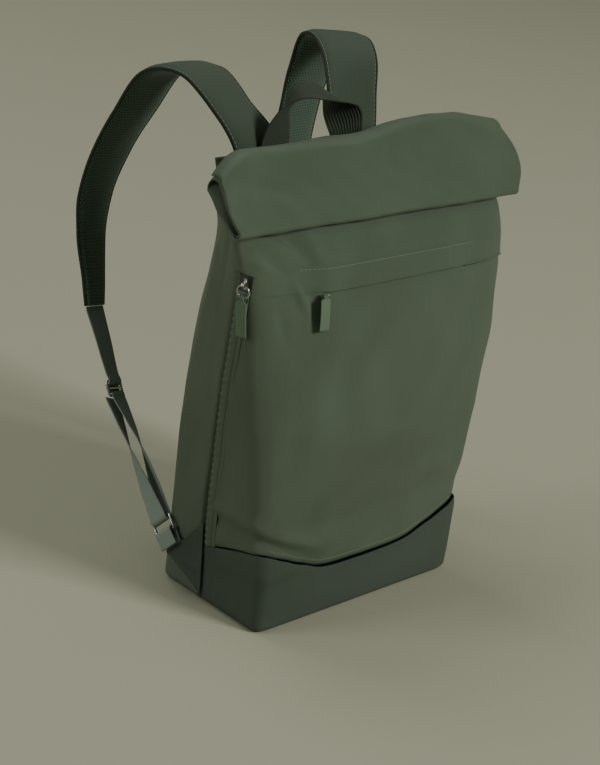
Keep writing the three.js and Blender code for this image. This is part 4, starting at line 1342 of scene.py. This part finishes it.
@dataclass
class Roll(Assembly):
    """The rolled top: the neck's cloth over an upper bend, round a lower one and on into the middle."""

    length: float = 400
    end_slant: float = 8
    end_bulge: float = 12
    inner_step: float = 1.6
    left_reach: float = 8
    left_droop: float = 22
    left_droop_from: float = 0.84
    left_bulge: float = 3
    neck_gather: float = 26
    lean: float = math.radians(62)
    span: float = 66
    top_radius: float = 13
    foot_radius: float = 7
    cloth: float = 1.5
    wall: float = 1.2
    top_pitch: float = 4.6
    foot_pitch: float = 2.6
    bends: int = 4
    bend_steps: int = 26
    straight_steps: int = 22
    shown_turns: float = 1.05
    fade_turns: float = 0.25
    fold_depth: float = 60
    stretch: float = 0.45
    slow_period: float = 60
    slow_swell: float = 0.9
    quick_period: float = 22
    quick_swell: float = 0.5

    def section(self) -> tuple[Array, Array, Array, Array, Array]:
        """The roll's cloth in the plane X = 0.

        It runs straight from the back panel's top to the upper bend, then alternates half turns about the upper
        and the lower bend's middles, with the radii shrinking by a pitch in a turn, and straights between them.

        Returns:
            For each station its place, the way out, its height on the roll from 0 to 1, its turns so far, and how
            much of the neck it still is.
        """
        sizes = self.sizes
        heights = np.array([sizes.top_height, sizes.back_height])
        neck_top, neck_foot = self.skin.at(Face.FRONT, heights, np.zeros(2))[:, 1:]
        along = unit(neck_top - neck_foot)
        forward = np.array([-along[1], along[0]])
        up = np.array([math.cos(self.lean), math.sin(self.lean)])
        rearward = np.array([math.sin(self.lean), -math.cos(self.lean)])
        top = neck_top - along * self.top_radius + forward * (self.top_radius + sizes.seam_gap)
        foot = top + rearward * (self.foot_radius - self.top_radius) - up * self.span
        start = np.array([sizes.back_face, sizes.back_height + sizes.seam_gap + self.cloth])
        reach = start - top
        first = math.atan2(reach[1], reach[0]) + math.acos(self.top_radius / np.linalg.norm(reach))
        places, angles, necks = [], [], []
        for bend in range(self.bends):
            at_top = bend % 2 == 0
            begin = first if bend == 0 else self.lean + math.pi * (bend - 0.5)
            angle = np.linspace(begin, self.lean + math.pi * (bend + 0.5), self.bend_steps)
            turns = (angle - first) / (2 * math.pi)
            radius, pitch = (self.top_radius, self.top_pitch) if at_top else (self.foot_radius, self.foot_pitch)
            radius = radius - pitch * turns
            way = np.stack([np.cos(angle), np.sin(angle)], axis=-1)
            bent = (top if at_top else foot) + radius[:, None] * way
            before = start if bend == 0 else places[-1][-1]
            part = np.linspace(0, 1, self.straight_steps)[1 if bend else 0:-1, None]
            straight = before + part * (bent[0] - before)
            places += [straight, bent]
            angles += [np.full(len(straight), angle[0]), angle]
            necks += [np.full(len(straight), 1.0 if bend == 0 else 0.0), np.zeros(len(angle))]
        place, angle, neck = np.concatenate(places), np.concatenate(angles), np.concatenate(necks)
        out = np.stack([np.cos(angle), np.sin(angle)], axis=-1)
        return place, out, ramp((place - foot) @ up / self.span), (angle - first) / (2 * math.pi), neck

    def build(self) -> Piece:
        """Makes the whole roll as one sheet.

        Half its length is the neck's half width there, or on the roll half the length plus the end's bulge, a sine
        of the height, less its slant, the cube of the height. The left end reaches further at the top, by the
        height to the power of four, bulges less, and droops by the square of the share left of its start. The
        folds and two ripples fade out towards the inner layers.

        Returns:
            The piece.
        """
        place, out, height, turns, neck = self.section()
        sizes, is_neck = self.sizes, neck > 0
        edge_z = np.minimum(place[:, 1], sizes.top_height)
        edge = self.skin.at(Face.BACK, edge_z, np.full(len(edge_z), sizes.back_edge))[:, 0] - 2 * sizes.cloth
        rolled = self.length / 2 + self.end_bulge * np.sin(math.pi * height) - self.end_slant * height**3
        rolled = rolled - self.inner_step * np.clip(turns - 0.5, 0, 2)
        risen = ramp((place[:, 1] - sizes.back_height) / sizes.neck_rise)
        half = np.where(is_neck, edge - self.neck_gather * risen, rolled)
        flatter = np.where(is_neck, 0, (self.end_bulge - self.left_bulge) * np.sin(math.pi * height))
        share = np.linspace(-1, 1, 170)
        further = np.where(is_neck, 0, self.left_reach * height**4)
        x = np.where(share < 0, (half + further - flatter)[:, None], half[:, None]) * share
        crest = np.where(is_neck, risen, height)
        end = ramp((-share - self.left_droop_from) / (1 - self.left_droop_from))
        droop = self.left_droop * end**2 * (height * ~is_neck)[:, None]
        z = place[:, 1][:, None] + crest_rise(x) * crest[:, None] - droop
        grid = np.stack([x, np.broadcast_to(place[:, 0][:, None], x.shape), z], axis=-1)
        way = np.stack([np.zeros(len(out)), out[:, 0], out[:, 1]], axis=-1)[:, None]
        shown = ramp((self.shown_turns - turns) / self.fade_turns)[:, None]
        level = z - crest_rise(x) * crest[:, None]
        stretched = grid * [self.stretch, 1, 1]
        relief = fold_relief(x, level, ROLL_FOLDS) * (grid[..., 1] < grid[:, :1, 1].max() - self.fold_depth)
        relief = relief + self.slow_swell * ripple(stretched, self.slow_period, 11)
        relief = relief + self.quick_swell * ripple(stretched, self.quick_period, 12)
        points = grid + (relief * shown)[..., None] * way
        quads = grid_quads(*grid.shape[:2])[:, ::-1]
        piece = Piece("roll_top_cloth", points, quads, cloth_uv(grid))
        return piece.solidify(self.wall).dress(MAIN, replaces=["roll_top"])


class Ribbon:
    """A band of webbing, tape or padding along a path."""

    @staticmethod
    def rings(path: Array, across: Array, width: Array | float, profile: Array, thick: Array | float) -> Array:
        """The section at each station, square to the path.

        Args:
            path: the stations' places.
            across: the way across at each station.
            width: the whole width, for each station or all.
            profile: for each point of the section, its share of the half width and of the half thickness.
            thick: the whole thickness.

        Returns:
            The points, a ring for each station.
        """
        along = unit(np.gradient(path, axis=0))
        side = square_to(across, along)
        face = np.cross(along, side)
        half = np.broadcast_to(width, len(path))[:, None, None] / 2
        deep = np.broadcast_to(thick, len(path))[:, None, None] / 2
        return (
            path[:, None]
            + profile[None, :, :1] * half * side[:, None]
            + profile[None, :, 1:] * deep * face[:, None]
        )

    @staticmethod
    def uv(rings: Array, width: float, profile: Array) -> Array:
        """U across the width and V along the path, in metres.

        Args:
            rings: the sections.
            width: the band's whole width.
            profile: the section's shares of the half width and half thickness.

        Returns:
            The U and V of each point.
        """
        v = np.broadcast_to(steps_along(rings.mean(axis=1)).cumsum()[:, None], rings.shape[:2])
        u = np.broadcast_to(profile[:, 0] * width / 2, v.shape)
        return np.stack([u, v], axis=-1) * MM

    @staticmethod
    def both_faces(across: Array, height: Array) -> Array:
        """A closed section: the points of the upper face, then the same ones mirrored on the lower face."""
        upper = np.stack([across, height], axis=-1)
        return np.concatenate([upper, upper[::-1] * [1, -1]])

    @classmethod
    def flat(cls, name: str, path: Array, across: Array, width: float, thick: float, finish: Finish,
             replaces: Sequence[str]) -> Piece:
        """A band with softly rounded edges.

        Args:
            name: the piece's name.
            path: the stations' places.
            across: the way across at each station.
            width: the whole width.
            thick: the whole thickness.
            finish: its finish.
            replaces: the frame's nodes that it stands for.

        Returns:
            The piece.
        """
        spread = np.array([-1, -0.985, -0.93, -0.5, 0, 0.5, 0.93, 0.985, 1])
        profile = cls.both_faces(spread, np.array([0.3, 0.75, 1, 1, 1, 1, 1, 0.75, 0.3]))
        rings = cls.rings(path, across, width, profile, thick)
        quads = outward_quads(rings, loft_quads(*rings.shape[:2]))
        return Piece(name, rings, quads, cls.uv(rings, width, profile)).dress(finish, replaces=replaces)


def resample(path: Array, others: Array, step: float) -> tuple[Array, Array]:
    """A smooth curve through places, at even steps of length, with other columns mixed along it.

    Args:
        path: the places.
        others: a row of further values for each place.
        step: the length of a step.

    Returns:
        The curve's places and the values there.
    """
    knots = np.sqrt(steps_along(path)).cumsum()
    fine = np.linspace(0, knots[-1], 900)
    curve = smooth_rows(knots, path, fine, 1.0)
    reach = steps_along(curve).cumsum()
    at = np.interp(np.linspace(0, reach[-1], max(int(reach[-1] / step), 2)), reach, fine)
    return smooth_rows(knots, path, at, 1.0), smooth_rows(knots, others, at, 0.6)


@dataclass
class SideZip(Assembly):
    """The side zip's puckered cover, ring and tape pull; its slider keeps the frame's own solid."""

    bulge: tuple[tuple[float, float], ...] = ((0, 0), (0.2, 0.8), (0.4, 1), (0.6, 0.7), (0.8, 0.25), (1, 0))
    cover_bulge: float = 1.6
    cover_start: float = 0.8
    cover_margin: float = 0.6
    cover_wall: float = 1.6
    opening: float = 16
    opening_run: float = 3
    coil_depth: float = 2.6
    bound_share: float = 7
    pucker: float = 0.7
    pucker_period: float = 8.5
    pucker_drift: float = 13
    stitch_at: float = 0.72
    stitch_breadth: float = 0.05
    stitch_sink: float = 0.7
    seam_sink: float = 2.6
    seam_breadth: float = 1.9
    slider_across: float = 0.8
    slider_drop: float = 7
    base: float = 1.6
    ring_radius: float = 6.6
    ring_wire: float = 1.6
    pull_width: float = 11
    pull_length: float = 41
    pull_tape: float = 1.2

    def cover(self) -> Piece:
        """The cover strip, which is rounded, puckered at its seam, and open above onto the zip's coil.

        Across, the strip rises by its bulge's table. A sine wave up the strip, whose phase drifts, makes the
        puckers, which fade out from the seam. Bell curves sink the stitch line and the seam. Where the strip is
        open only a narrow bound edge stays, and the rest sinks to the coil.

        Returns:
            The piece.
        """
        sizes = self.sizes
        across = np.linspace(0, 1, 36)[None, :]
        arc = self.cover_start + across * (sizes.zip_width - self.cover_margin)
        foot = self.skin.band_top_at(arc) + sizes.seam_gap
        z = foot + np.linspace(0, 1, 280)[:, None] * (sizes.zip_top - 0.4 - foot)
        rise = smooth_value(self.bulge, across) * self.cover_bulge
        shut = ramp((sizes.zip_top - self.opening - z) / self.opening_run)
        shut = np.maximum(shut, ramp(1 - across * self.bound_share))
        phase = 2 * math.pi * z / self.pucker_period + 0.9 * np.sin(z / self.pucker_drift)
        pucker = self.pucker * np.sin(phase) * ramp(1 - across * 1.5)
        stitched = -self.stitch_sink * bell(across - self.stitch_at, self.stitch_breadth)
        seam = -self.seam_sink * bell(across * sizes.zip_width, self.seam_breadth)
        lift = (rise + pucker * ramp(across * self.bound_share) + stitched) * shut
        lift = lift - self.coil_depth * (1 - shut) + seam
        grid = self.skin.at_length(z, arc, -lift)
        quads = grid_quads(*grid.shape[:2])
        dark = np.broadcast_to(shut, z.shape)[:-1, :-1].ravel() < 0.5
        piece = Piece("side_zip_cover_cloth", grid, quads, cloth_uv(grid)).parts(dark)
        return piece.solidify(self.cover_wall).dress(MAIN, ZIP_COIL, replaces=["side_zip_cover"])

    def build(self) -> None:
        """Makes the cover, the ring and the pull."""
        self.cover()
        z = self.sizes.zip_top - self.slider_drop
        frame = self.skin.frame(z, self.slider_across * self.sizes.zip_width)
        seat = float(smooth_value(self.bulge, self.slider_across)) * self.cover_bulge + self.sizes.seat_gap
        eye = self.ring_wire / 2 + self.sizes.seat_gap
        out = seat + self.base + 2 * eye + self.pull_tape
        turn = np.linspace(0, 2 * math.pi, 40, endpoint=False)[:, None]
        circle = np.cos(turn) * frame.across + np.sin(turn) * frame.up
        path = frame.point(0, -self.ring_radius, out) + self.ring_radius * circle
        points, quads = tube(path, frame.out, self.ring_wire / 2, True)
        ring = Piece("side_zip_ring_wire", points, outward_quads(points, quads))
        ring.dress(ZIP_METAL, replaces=["side_zip_ring"])
        lower = Frame(frame.point(0, -2 * self.ring_radius, out), frame.across, frame.up, frame.out)
        FoldedPull("side_zip_pull", self.pull_length, eye, self.pull_width).build(lower)


@dataclass(frozen=True)
class FoldedPull:
    """A tape pull folded over a bar: a plate in front, and a narrow tongue over the bar and down behind it."""

    node: str
    length: float
    bar_half: float
    width: float = 12
    tape: float = 1.2
    tongue: float = 4.4
    lean: float = 3.0
    belly: float = 0.5
    play: float = 0.3
    hang_rows: int = 24
    turn_rows: int = 12

    def build(self, frame: Frame) -> Piece:
        """Makes the pull.

        Its path runs up the plate, which bellies by a sine and leans back evenly towards its foot, then half round
        the bar and a little way down behind it.

        Args:
            frame: the bar's middle.

        Returns:
            The piece.
        """
        rows, plate = self.hang_rows, slice(self.hang_rows)
        swing = self.bar_half + self.play + self.tape / 2
        hang = np.linspace(-self.length, -2.2 * swing, rows)
        turn = np.linspace(0, math.pi, self.turn_rows)
        up = np.concatenate([hang, [-1.6 * swing, -swing], np.sin(turn) * swing, [-2 * swing]])
        out = np.concatenate([np.full(rows + 2, swing), np.cos(turn) * swing, [-swing]])
        narrow = np.full(self.turn_rows + 2, self.tongue)
        width = np.concatenate([np.full(rows, self.width), [self.width * 0.75], narrow])
        width[0], width[1] = self.width * 0.93, self.width
        path = frame.place + up[:, None] * frame.up + out[:, None] * frame.out
        path[plate] += self.belly * np.sin(np.linspace(0, math.pi, rows))[:, None] * frame.out
        path[plate] -= self.lean * np.linspace(1, 0, rows)[:, None] * frame.out
        across = np.broadcast_to(frame.across, path.shape)
        spread, height = np.array([-1, -0.95, -0.8, 0, 0.8, 0.95, 1]), np.array([0.5, 0.9, 1, 1, 1, 0.9, 0.5])
        profile = Ribbon.both_faces(spread, height)
        rings = Ribbon.rings(path, across, width, profile, self.tape)
        quads = outward_quads(rings, loft_quads(*rings.shape[:2]))
        piece = Piece(self.node + "_tape", rings, quads, Ribbon.uv(rings, self.width, profile))
        return piece.dress(TAPE, replaces=[self.node])


@dataclass
class PocketZip(Assembly):
    """The pocket zip's pull under the yoke's edge, and its slider, which keeps the frame's own solid."""

    slider_x: float = -102
    bar: float = 1.3
    tape: float = 1.2
    pull_length: float = 34

    def build(self) -> Piece:
        """Makes the pull, in front of the staple's bar.

        Returns:
            The piece.
        """
        sizes = self.sizes
        outline, lengths = self.skin.outline(Face.FRONT, np.array(float(sizes.slit_height)), 0.0)
        length = float(np.interp(self.slider_x, outline[:, 0], lengths))
        frame = self.skin.frame(sizes.slit_height - sizes.cloth - self.bar, length)
        window = self.tape + 3 * sizes.seat_gap
        bar_out = sizes.seat_gap + self.bar + window + self.bar / 2
        place = Frame(frame.point(0, 0, bar_out), frame.across, frame.up, frame.out)
        return FoldedPull("pocket_zip_pull", self.pull_length, self.bar / 2).build(place)


@dataclass
class Harness(Assembly):
    """One shoulder strap with its webbing, slider, ring, tab and wing."""

    side: Side
    stitches: Stitches
    strap_width: float = 62
    padding: float = 10
    strap_swell: float = 0.35
    strap_period: float = 45
    binding_from: float = 0.9
    calm_from: float = 0.85
    bar: float = 3
    slot: float = 5
    bow: float = 4
    ring_depth: float = 13
    tab: float = 16
    wing_foot: float = 8
    wing_head: float = 93
    wing_wall: float = 1.4
    wing_sag: float = 2.2
    wing_sag_in: float = 0.4
    wing_crease: float = 1.6
    crease_breadth: float = 0.16
    lap: float = 0.8

    def __post_init__(self) -> None:
        """Works out the frames of the slider and of the ring."""
        self.table = LEFT_STRAP if self.side is Side.LEFT else RIGHT_STRAP
        end, slider, ring = (self.place(row) for row in (self.table[-1], STRAP_SLIDER_AT, RING_AT))
        self.slider = self.hang(slider, end, self.turned(STRAP_SLIDER_AT.turn))
        self.ring = self.hang(ring, slider, self.crossways(RING_ACROSS))

    def place(self, row: StrapRow) -> Array:
        """The place of a table's row on this side: its shares of the base's width, the reach and the back's height.

        Args:
            row: the table's row.

        Returns:
            The place.
        """
        sizes = self.sizes
        x, y = self.side.value * row.out * sizes.base_width, sizes.back_face + row.behind * sizes.strap_reach
        return np.array([x, y, row.up * sizes.back_height])

    def crossways(self, way: Sequence[float]) -> Array:
        """A way across the strap: mirrored and reversed on the right."""
        return np.array(way) * [1, -self.side.value, -self.side.value]

    def turned(self, degrees: float) -> Array:
        """The way across at a turn about the upright axis."""
        turn = math.radians(degrees)
        return self.crossways((math.cos(turn), math.sin(turn), 0.0))

    @staticmethod
    def hang(place: Array, above: Array, across: Array) -> Frame:
        """The frame of a fitting that hangs from a place above it.

        Args:
            place: the fitting's middle.
            above: the place that it hangs from.
            across: roughly the way across.

        Returns:
            The frame.
        """
        up = unit(above - place)
        across = square_to(across, up)
        return Frame(place, across, up, np.cross(across, up))

    def strap(self) -> Piece:
        """The padded strap: cloth outside, spacer mesh inside, and bound edges with a stitch row beside each.

        Its section is a table of heights across, highest in the middle and with a furrow beside each bound edge.

        Returns:
            The piece.
        """
        sizes, rows = self.sizes, np.array(self.table, float)
        places = np.array([self.place(row) for row in self.table])
        path, columns = resample(places, rows[:, 3:], 3.0)
        first = sizes.webbing + self.padding / 2 + 4 * sizes.seat_gap
        path[:, 1] = np.maximum(path[:, 1], sizes.back_face + first)
        turn = np.deg2rad(columns[:, 1])
        across = np.stack([np.cos(turn), np.sin(turn), np.zeros_like(turn)], axis=-1)
        across = across * [1, -self.side.value, -self.side.value]
        spread = np.array([-1, -0.99, -0.955, -0.92, -0.9, -0.88, -0.82, -0.7, -0.45, -0.2, 0])
        height = np.array([0.12, 0.3, 0.38, 0.34, 0.3, 0.42, 0.66, 0.88, 0.98, 1, 1])
        spread = np.concatenate([spread, -spread[-2::-1]])
        height = np.concatenate([height, height[-2::-1]])
        profile = Ribbon.both_faces(spread, height)
        width = columns[:, 0] * self.strap_width
        rings = Ribbon.rings(path, across, width, profile, self.padding)
        uneven = self.strap_swell * ripple(rings, self.strap_period, 21 + self.side.value)
        middle = rings - path[:, None]
        rings = rings + (uneven * (np.abs(profile[:, 0]) < self.calm_from))[..., None] * unit(middle)
        quads = loft_quads(*rings.shape[:2])
        column = np.arange(len(quads)) % len(profile)
        edge = np.abs((profile[:, 0] + np.roll(profile[:, 0], -1)) / 2) > self.binding_from
        inside = np.arange(len(profile)) < len(profile) // 2
        part = np.where(edge, 2, np.where(inside, 1, 0))[column]
        turned = outward_quads(rings, quads)
        name = f"shoulder_strap_{self.side.word}"
        piece = Piece(name + "_pad", rings, turned, Ribbon.uv(rings, self.strap_width, profile)).parts(part)
        piece.dress(STRAP, MESH, BINDING, replaces=[name])
        faces = np.cross(unit(np.gradient(path, axis=0)), across)
        for way in (-1, 1):
            for number in (4, len(spread) - 5):
                index = number if way > 0 else len(profile) - 1 - number
                self.stitches.row(rings[4:-3, index], way * faces[4:-3])
        return piece

    def round_bar(self, bar_up: float, way: int) -> Array:
        """A half turn of the webbing round one of the ring's bars.

        Args:
            bar_up: the bar's height in the ring's frame.
            way: 1 where the webbing comes from above, -1 where it comes from below.

        Returns:
            The places along the half turn.
        """
        swing = self.bar * math.sqrt(0.5) + self.sizes.seat_gap + self.sizes.webbing
        turn = np.linspace(0, math.pi, 13)
        return np.array([self.ring.point(0, bar_up - way * math.sin(t) * swing, math.cos(t) * swing) for t in turn])

    def webbing(self) -> Piece:
        """The webbing from the strap's end through the slider and the ring, and back up to the slider.

        Returns:
            The piece.
        """
        sizes, slider, ring = self.sizes, self.slider, self.ring
        before, end = (self.place(row) for row in self.table[-2:])
        along = unit(end - before)
        stride, lift = self.bar + self.slot, self.bar / 2 + sizes.seat_gap + sizes.webbing / 2
        upper = [(1.15, 1), (0.8, 1), (0.66, 0.8), (0.34, -0.8), (0.2, -1)]
        weave = [(1.9, 0.5), *upper, *[(-up, out) for up, out in reversed(upper)], (-1.6, 1.1)]
        woven = [slider.point(0, up * stride, out * lift) for up, out in weave]
        turn = list(self.round_bar(self.ring_depth / 2 + self.bar / 2, 1))
        approach, retreat = turn[0] + ring.up * self.bar, turn[-1] + ring.up * self.bar
        tail = slider.point(0, -1.3 * stride, -2.4 * lift)
        start = end + along * 0.8
        first = self.turned(self.table[-1].turn)
        path = [start, start + along * sizes.webbing, (start + woven[0]) / 2, *woven]
        across = [first, first, first + slider.across, *[slider.across] * len(woven)]
        for begin, from_frame, finish, to_frame, bow in (
            (woven[-1], slider, approach, ring, self.bow),
            (retreat, ring, tail, slider, -self.bow / 3),
        ):
            for share in (0.2, 0.4, 0.6, 0.8):
                out = unit(from_frame.out + share * (to_frame.out - from_frame.out))
                path.append(begin + share * (finish - begin) + out * bow * math.sin(math.pi * share))
                across.append(from_frame.across + share * (to_frame.across - from_frame.across))
            if begin is woven[-1]:
                path += [approach, *turn, retreat]
                across += [ring.across] * (len(turn) + 2)
        path.append(tail)
        across.append(slider.across)
        line, ways = resample(np.array(path), unit(np.array(across)), 1.4)
        name = f"strap_webbing_{self.side.word}"
        return Ribbon.flat(name + "_band", line, ways, sizes.webbing_width, sizes.webbing, WEBBING, [name])

    def wire(self, node: str, frame: Frame, half_up: float, bars: int) -> Piece:
        """A bent wire loop, with a middle bar where there are three bars.

        The loop is a rectangle with rounded corners: a small power of the cosine across and of the sine up.

        Args:
            node: the node that it stands for.
            frame: the loop's middle.
            half_up: half its wire's height.
            bars: how many bars cross it.

        Returns:
            The piece.
        """
        half_across = (self.sizes.webbing_width + 2 * self.sizes.seat_gap + self.bar) / 2
        angle = np.linspace(0, 2 * math.pi, 96, endpoint=False)
        x = half_across * np.sign(np.cos(angle)) * np.abs(np.cos(angle)) ** 0.2
        up = half_up * np.sign(np.sin(angle)) * np.abs(np.sin(angle)) ** 0.3
        loop = frame.place + x[:, None] * frame.across + up[:, None] * frame.up
        parts = [tube(loop, frame.out, self.bar / 2, True)]
        if bars == 3:
            line = frame.place + np.linspace(-half_across, half_across, 12)[:, None] * frame.across
            parts.append(tube(line, frame.out, self.bar / 2, False))
        points = np.concatenate([part[0] for part in parts])
        offsets = np.cumsum([0, *[len(part[0]) for part in parts[:-1]]])
        quads = np.concatenate([outward_quads(part[0], part[1]) + at for part, at in zip(parts, offsets)])
        return Piece(node + "_wire", points, quads).dress(METAL, replaces=[node])

    def anchor(self) -> None:
        """Makes the tab round the ring's lower bar, and the cloth wing that joins it to the side seam, in the
        darker base canvas as painted shade.

        The wing is straight lines from the seam to the tab's mouth. It sags by a sine of the way along them, and a
        crease, a bell curve across the wing, slants down it.
        """
        sizes, ring, word = self.sizes, self.ring, self.side.word
        turn = self.round_bar(-(self.ring_depth + self.bar) / 2, -1)
        ends = [end - ring.up * self.tab for end in (turn[0], turn[-1])]
        loop = np.array([ends[0], *turn, ends[1] + ring.out * sizes.webbing])
        line, ways = resample(loop, np.tile(ring.across, (len(loop), 1)), 1.2)
        name = f"anchor_tab_{word}"
        Ribbon.flat(name + "_band", line, ways, sizes.webbing_width, sizes.webbing, WEBBING, [name])
        edge = np.linspace(-1, 1, 40)[None, :]
        z = self.wing_foot + (edge + 1) / 2 * (self.wing_head - self.wing_foot)
        proud = -sizes.seat_gap - sizes.webbing
        seam = self.skin.at(Face.BACK, z, np.full_like(z, self.side.value), proud, -self.lap, -self.lap)
        mouth = ends[0] - ring.up * sizes.seam_gap - ring.out * sizes.webbing
        tip = mouth + (edge * self.side.value * sizes.webbing_width / 2)[..., None] * ring.across
        share = np.linspace(0, 1, 40)[:, None, None]
        grid = seam + share * (tip - seam)
        along = np.sin(math.pi * share[..., 0])
        sag = self.wing_sag * along * (0.4 + 0.6 * np.abs(edge))
        crease = self.wing_crease * bell(edge + 0.35 + 0.3 * share[..., 0], self.crease_breadth) * along
        grid = grid + ((crease - self.wing_sag_in * sag) * self.side.value)[..., None] * np.array([1.0, 0, 0])
        normals = grid_normals(grid)
        facing = 1 if (normals[..., 0].mean() * self.side.value) > 0 else -1
        name = f"anchor_wing_{word}"
        quads = grid_quads(40, 40)[:, ::facing]
        # painted shade: the wing wears the darker base canvas for the shade that falls on it
        Piece(name + "_cloth", grid, quads, cloth_uv(grid)).solidify(self.wing_wall).dress(SHADED_BASE, replaces=[name])

    def build(self) -> None:
        """Makes the strap and everything that hangs from it."""
        word = self.side.word
        self.strap()
        self.webbing()
        self.wire(f"strap_slider_{word}", self.slider, self.slot + self.bar, 3)
        self.wire(f"strap_ring_{word}", self.ring, (self.ring_depth + self.bar) / 2, 2)
        self.anchor()


@dataclass
class HaulHandle:
    """The haul handle: a loop of broad webbing with half a twist."""

    sizes: Sizes
    width: float = 40
    span: float = 104
    rise: float = 62
    tilt: float = math.radians(16)

    def build(self) -> Piece:
        """Makes the handle along a smooth curve through its table, whose rows are shares of span, rise and width.

        Returns:
            The piece.
        """
        sizes, rows = self.sizes, np.array(HANDLE, float)
        face = sizes.back_face + sizes.webbing / 2 + 2 * sizes.seat_gap
        out, up, behind = rows[:, 0] * self.span, rows[:, 1] * self.rise, rows[:, 2] * self.width
        places = np.stack([-out, face + behind, sizes.back_height + up], axis=-1)
        path, columns = resample(places, rows[:, 3:], 1.6)
        path[:, 1] = np.maximum(path[:, 1], face)
        turn = np.deg2rad(columns[:, 0])
        sine = np.sin(turn)
        across = np.stack([np.cos(turn), sine * math.cos(self.tilt), sine * math.sin(self.tilt)], axis=-1)
        return Ribbon.flat("haul_handle_band", path, across, self.width, sizes.webbing, HANDLE_WEBBING,
                           ["haul_handle"])


@dataclass(frozen=True)
class Studio:
    """The floor, the lights and the camera."""

    floor_half: float = 9000.0
    camera_turn: tuple[float, float, float] = (-0.80535, 0.38122, 0.13098)
    camera_distance: float = 1852.73
    camera_target: tuple[float, float, float] = (-50.35, 0.0, 233.91)
    lens: float = 84.706
    sky: float = 0.24

    def floor(self) -> None:
        """A plain level floor under the bag."""
        edges = [-self.floor_half, self.floor_half]
        grid = np.stack(np.meshgrid(edges, edges, [0.0]), axis=-1).reshape(4, 3)
        piece = Piece("floor", grid, np.array([[0, 1, 3, 2]]))
        piece.object.data.materials.append(FLOOR.material())

    def light(self, name: str, place: Sequence[float], size: float, power: float, colour: Colour) -> None:
        """A square soft light that looks at the bag.

        Args:
            name: its name.
            place: where it hangs, in metres.
            size: its width, in metres.
            power: its power, in watts.
            colour: its colour.
        """
        data = bpy.data.lights.new(name, "AREA")
        data.size, data.energy, data.color = size, power, colour
        lamp = bpy.data.objects.new(name, data)
        lamp.location = place
        lamp.rotation_euler = (Vector((0, 0, 0.25)) - Vector(place)).to_track_quat("-Z", "Y").to_euler()
        bpy.context.scene.collection.objects.link(lamp)

    def lights(self) -> None:
        """A far key from the front's right, a fill from the left, a light from above behind, and an even sky."""
        self.light("key", (2.2, -6.1, 3.9), 2.0, 440, (1.0, 0.99, 0.96))
        self.light("fill", (-6.2, 2.6, 3.2), 3.0, 185, (0.98, 0.99, 0.98))
        self.light("top", (-0.6, 3.4, 6.0), 3.2, 130, (0.99, 1.0, 0.98))
        world = bpy.data.worlds.new("sky")
        world.use_nodes = True
        background = world.node_tree.nodes["Background"]
        background.inputs["Color"].default_value = (*srgb(206, 208, 196), 1)
        background.inputs["Strength"].default_value = self.sky
        bpy.context.scene.world = world

    def camera(self) -> None:
        """The camera: turned, raised and rolled about its target, with the photograph's lens."""
        turn, rise, roll = self.camera_turn
        away = np.array([math.sin(turn) * math.cos(rise), -math.cos(turn) * math.cos(rise), math.sin(rise)])
        right = np.array([math.cos(turn), math.sin(turn), 0.0])
        over = np.cross(away, right)
        x_axis = math.cos(roll) * right + math.sin(roll) * over
        y_axis = -math.sin(roll) * right + math.cos(roll) * over
        place = (np.array(self.camera_target) + away * self.camera_distance) * MM
        data = bpy.data.cameras.new("camera")
        data.sensor_width, data.lens, data.clip_end = 36, self.lens, 60
        camera = bpy.data.objects.new("camera", data)
        matrix = np.eye(4)
        matrix[:3] = np.stack([x_axis, y_axis, away, place], axis=-1)
        camera.matrix_world = Matrix(matrix.tolist())
        bpy.context.scene.collection.objects.link(camera)
        bpy.context.scene.camera = camera

    def build(self) -> None:
        """Makes the floor, the lights and the camera."""
        self.floor()
        self.lights()
        self.camera()


def dress_nodes(nodes: dict[str, Finish]) -> None:
    """Gives the frame's own solids their finish, as they stay in view.

    Args:
        nodes: the finish for each node.
    """
    for node, finish in nodes.items():
        materials = bpy.data.objects[node].data.materials
        materials.clear()
        materials.append(finish.material())
        LOG.info("%s keeps its solid", node)


def main() -> None:
    """Builds the bag's sub-assemblies in order, then the studio."""
    logging.basicConfig(level=logging.INFO, format="%(message)s")
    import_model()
    skin, stitches = Skin(SIZES), Stitches()
    Body(skin, stitches).build()
    Roll(skin).build()
    SideZip(skin).build()
    PocketZip(skin).build()
    for side in Side:
        Harness(skin, side, stitches).build()
    HaulHandle(SIZES).build()
    stitches.piece("stitches", THREAD)
    dress_nodes({"side_zip_slider": ZIP_METAL, "pocket_zip_slider": ZIP_METAL})
    Studio().build()


if __name__ == "__main__":
    main()
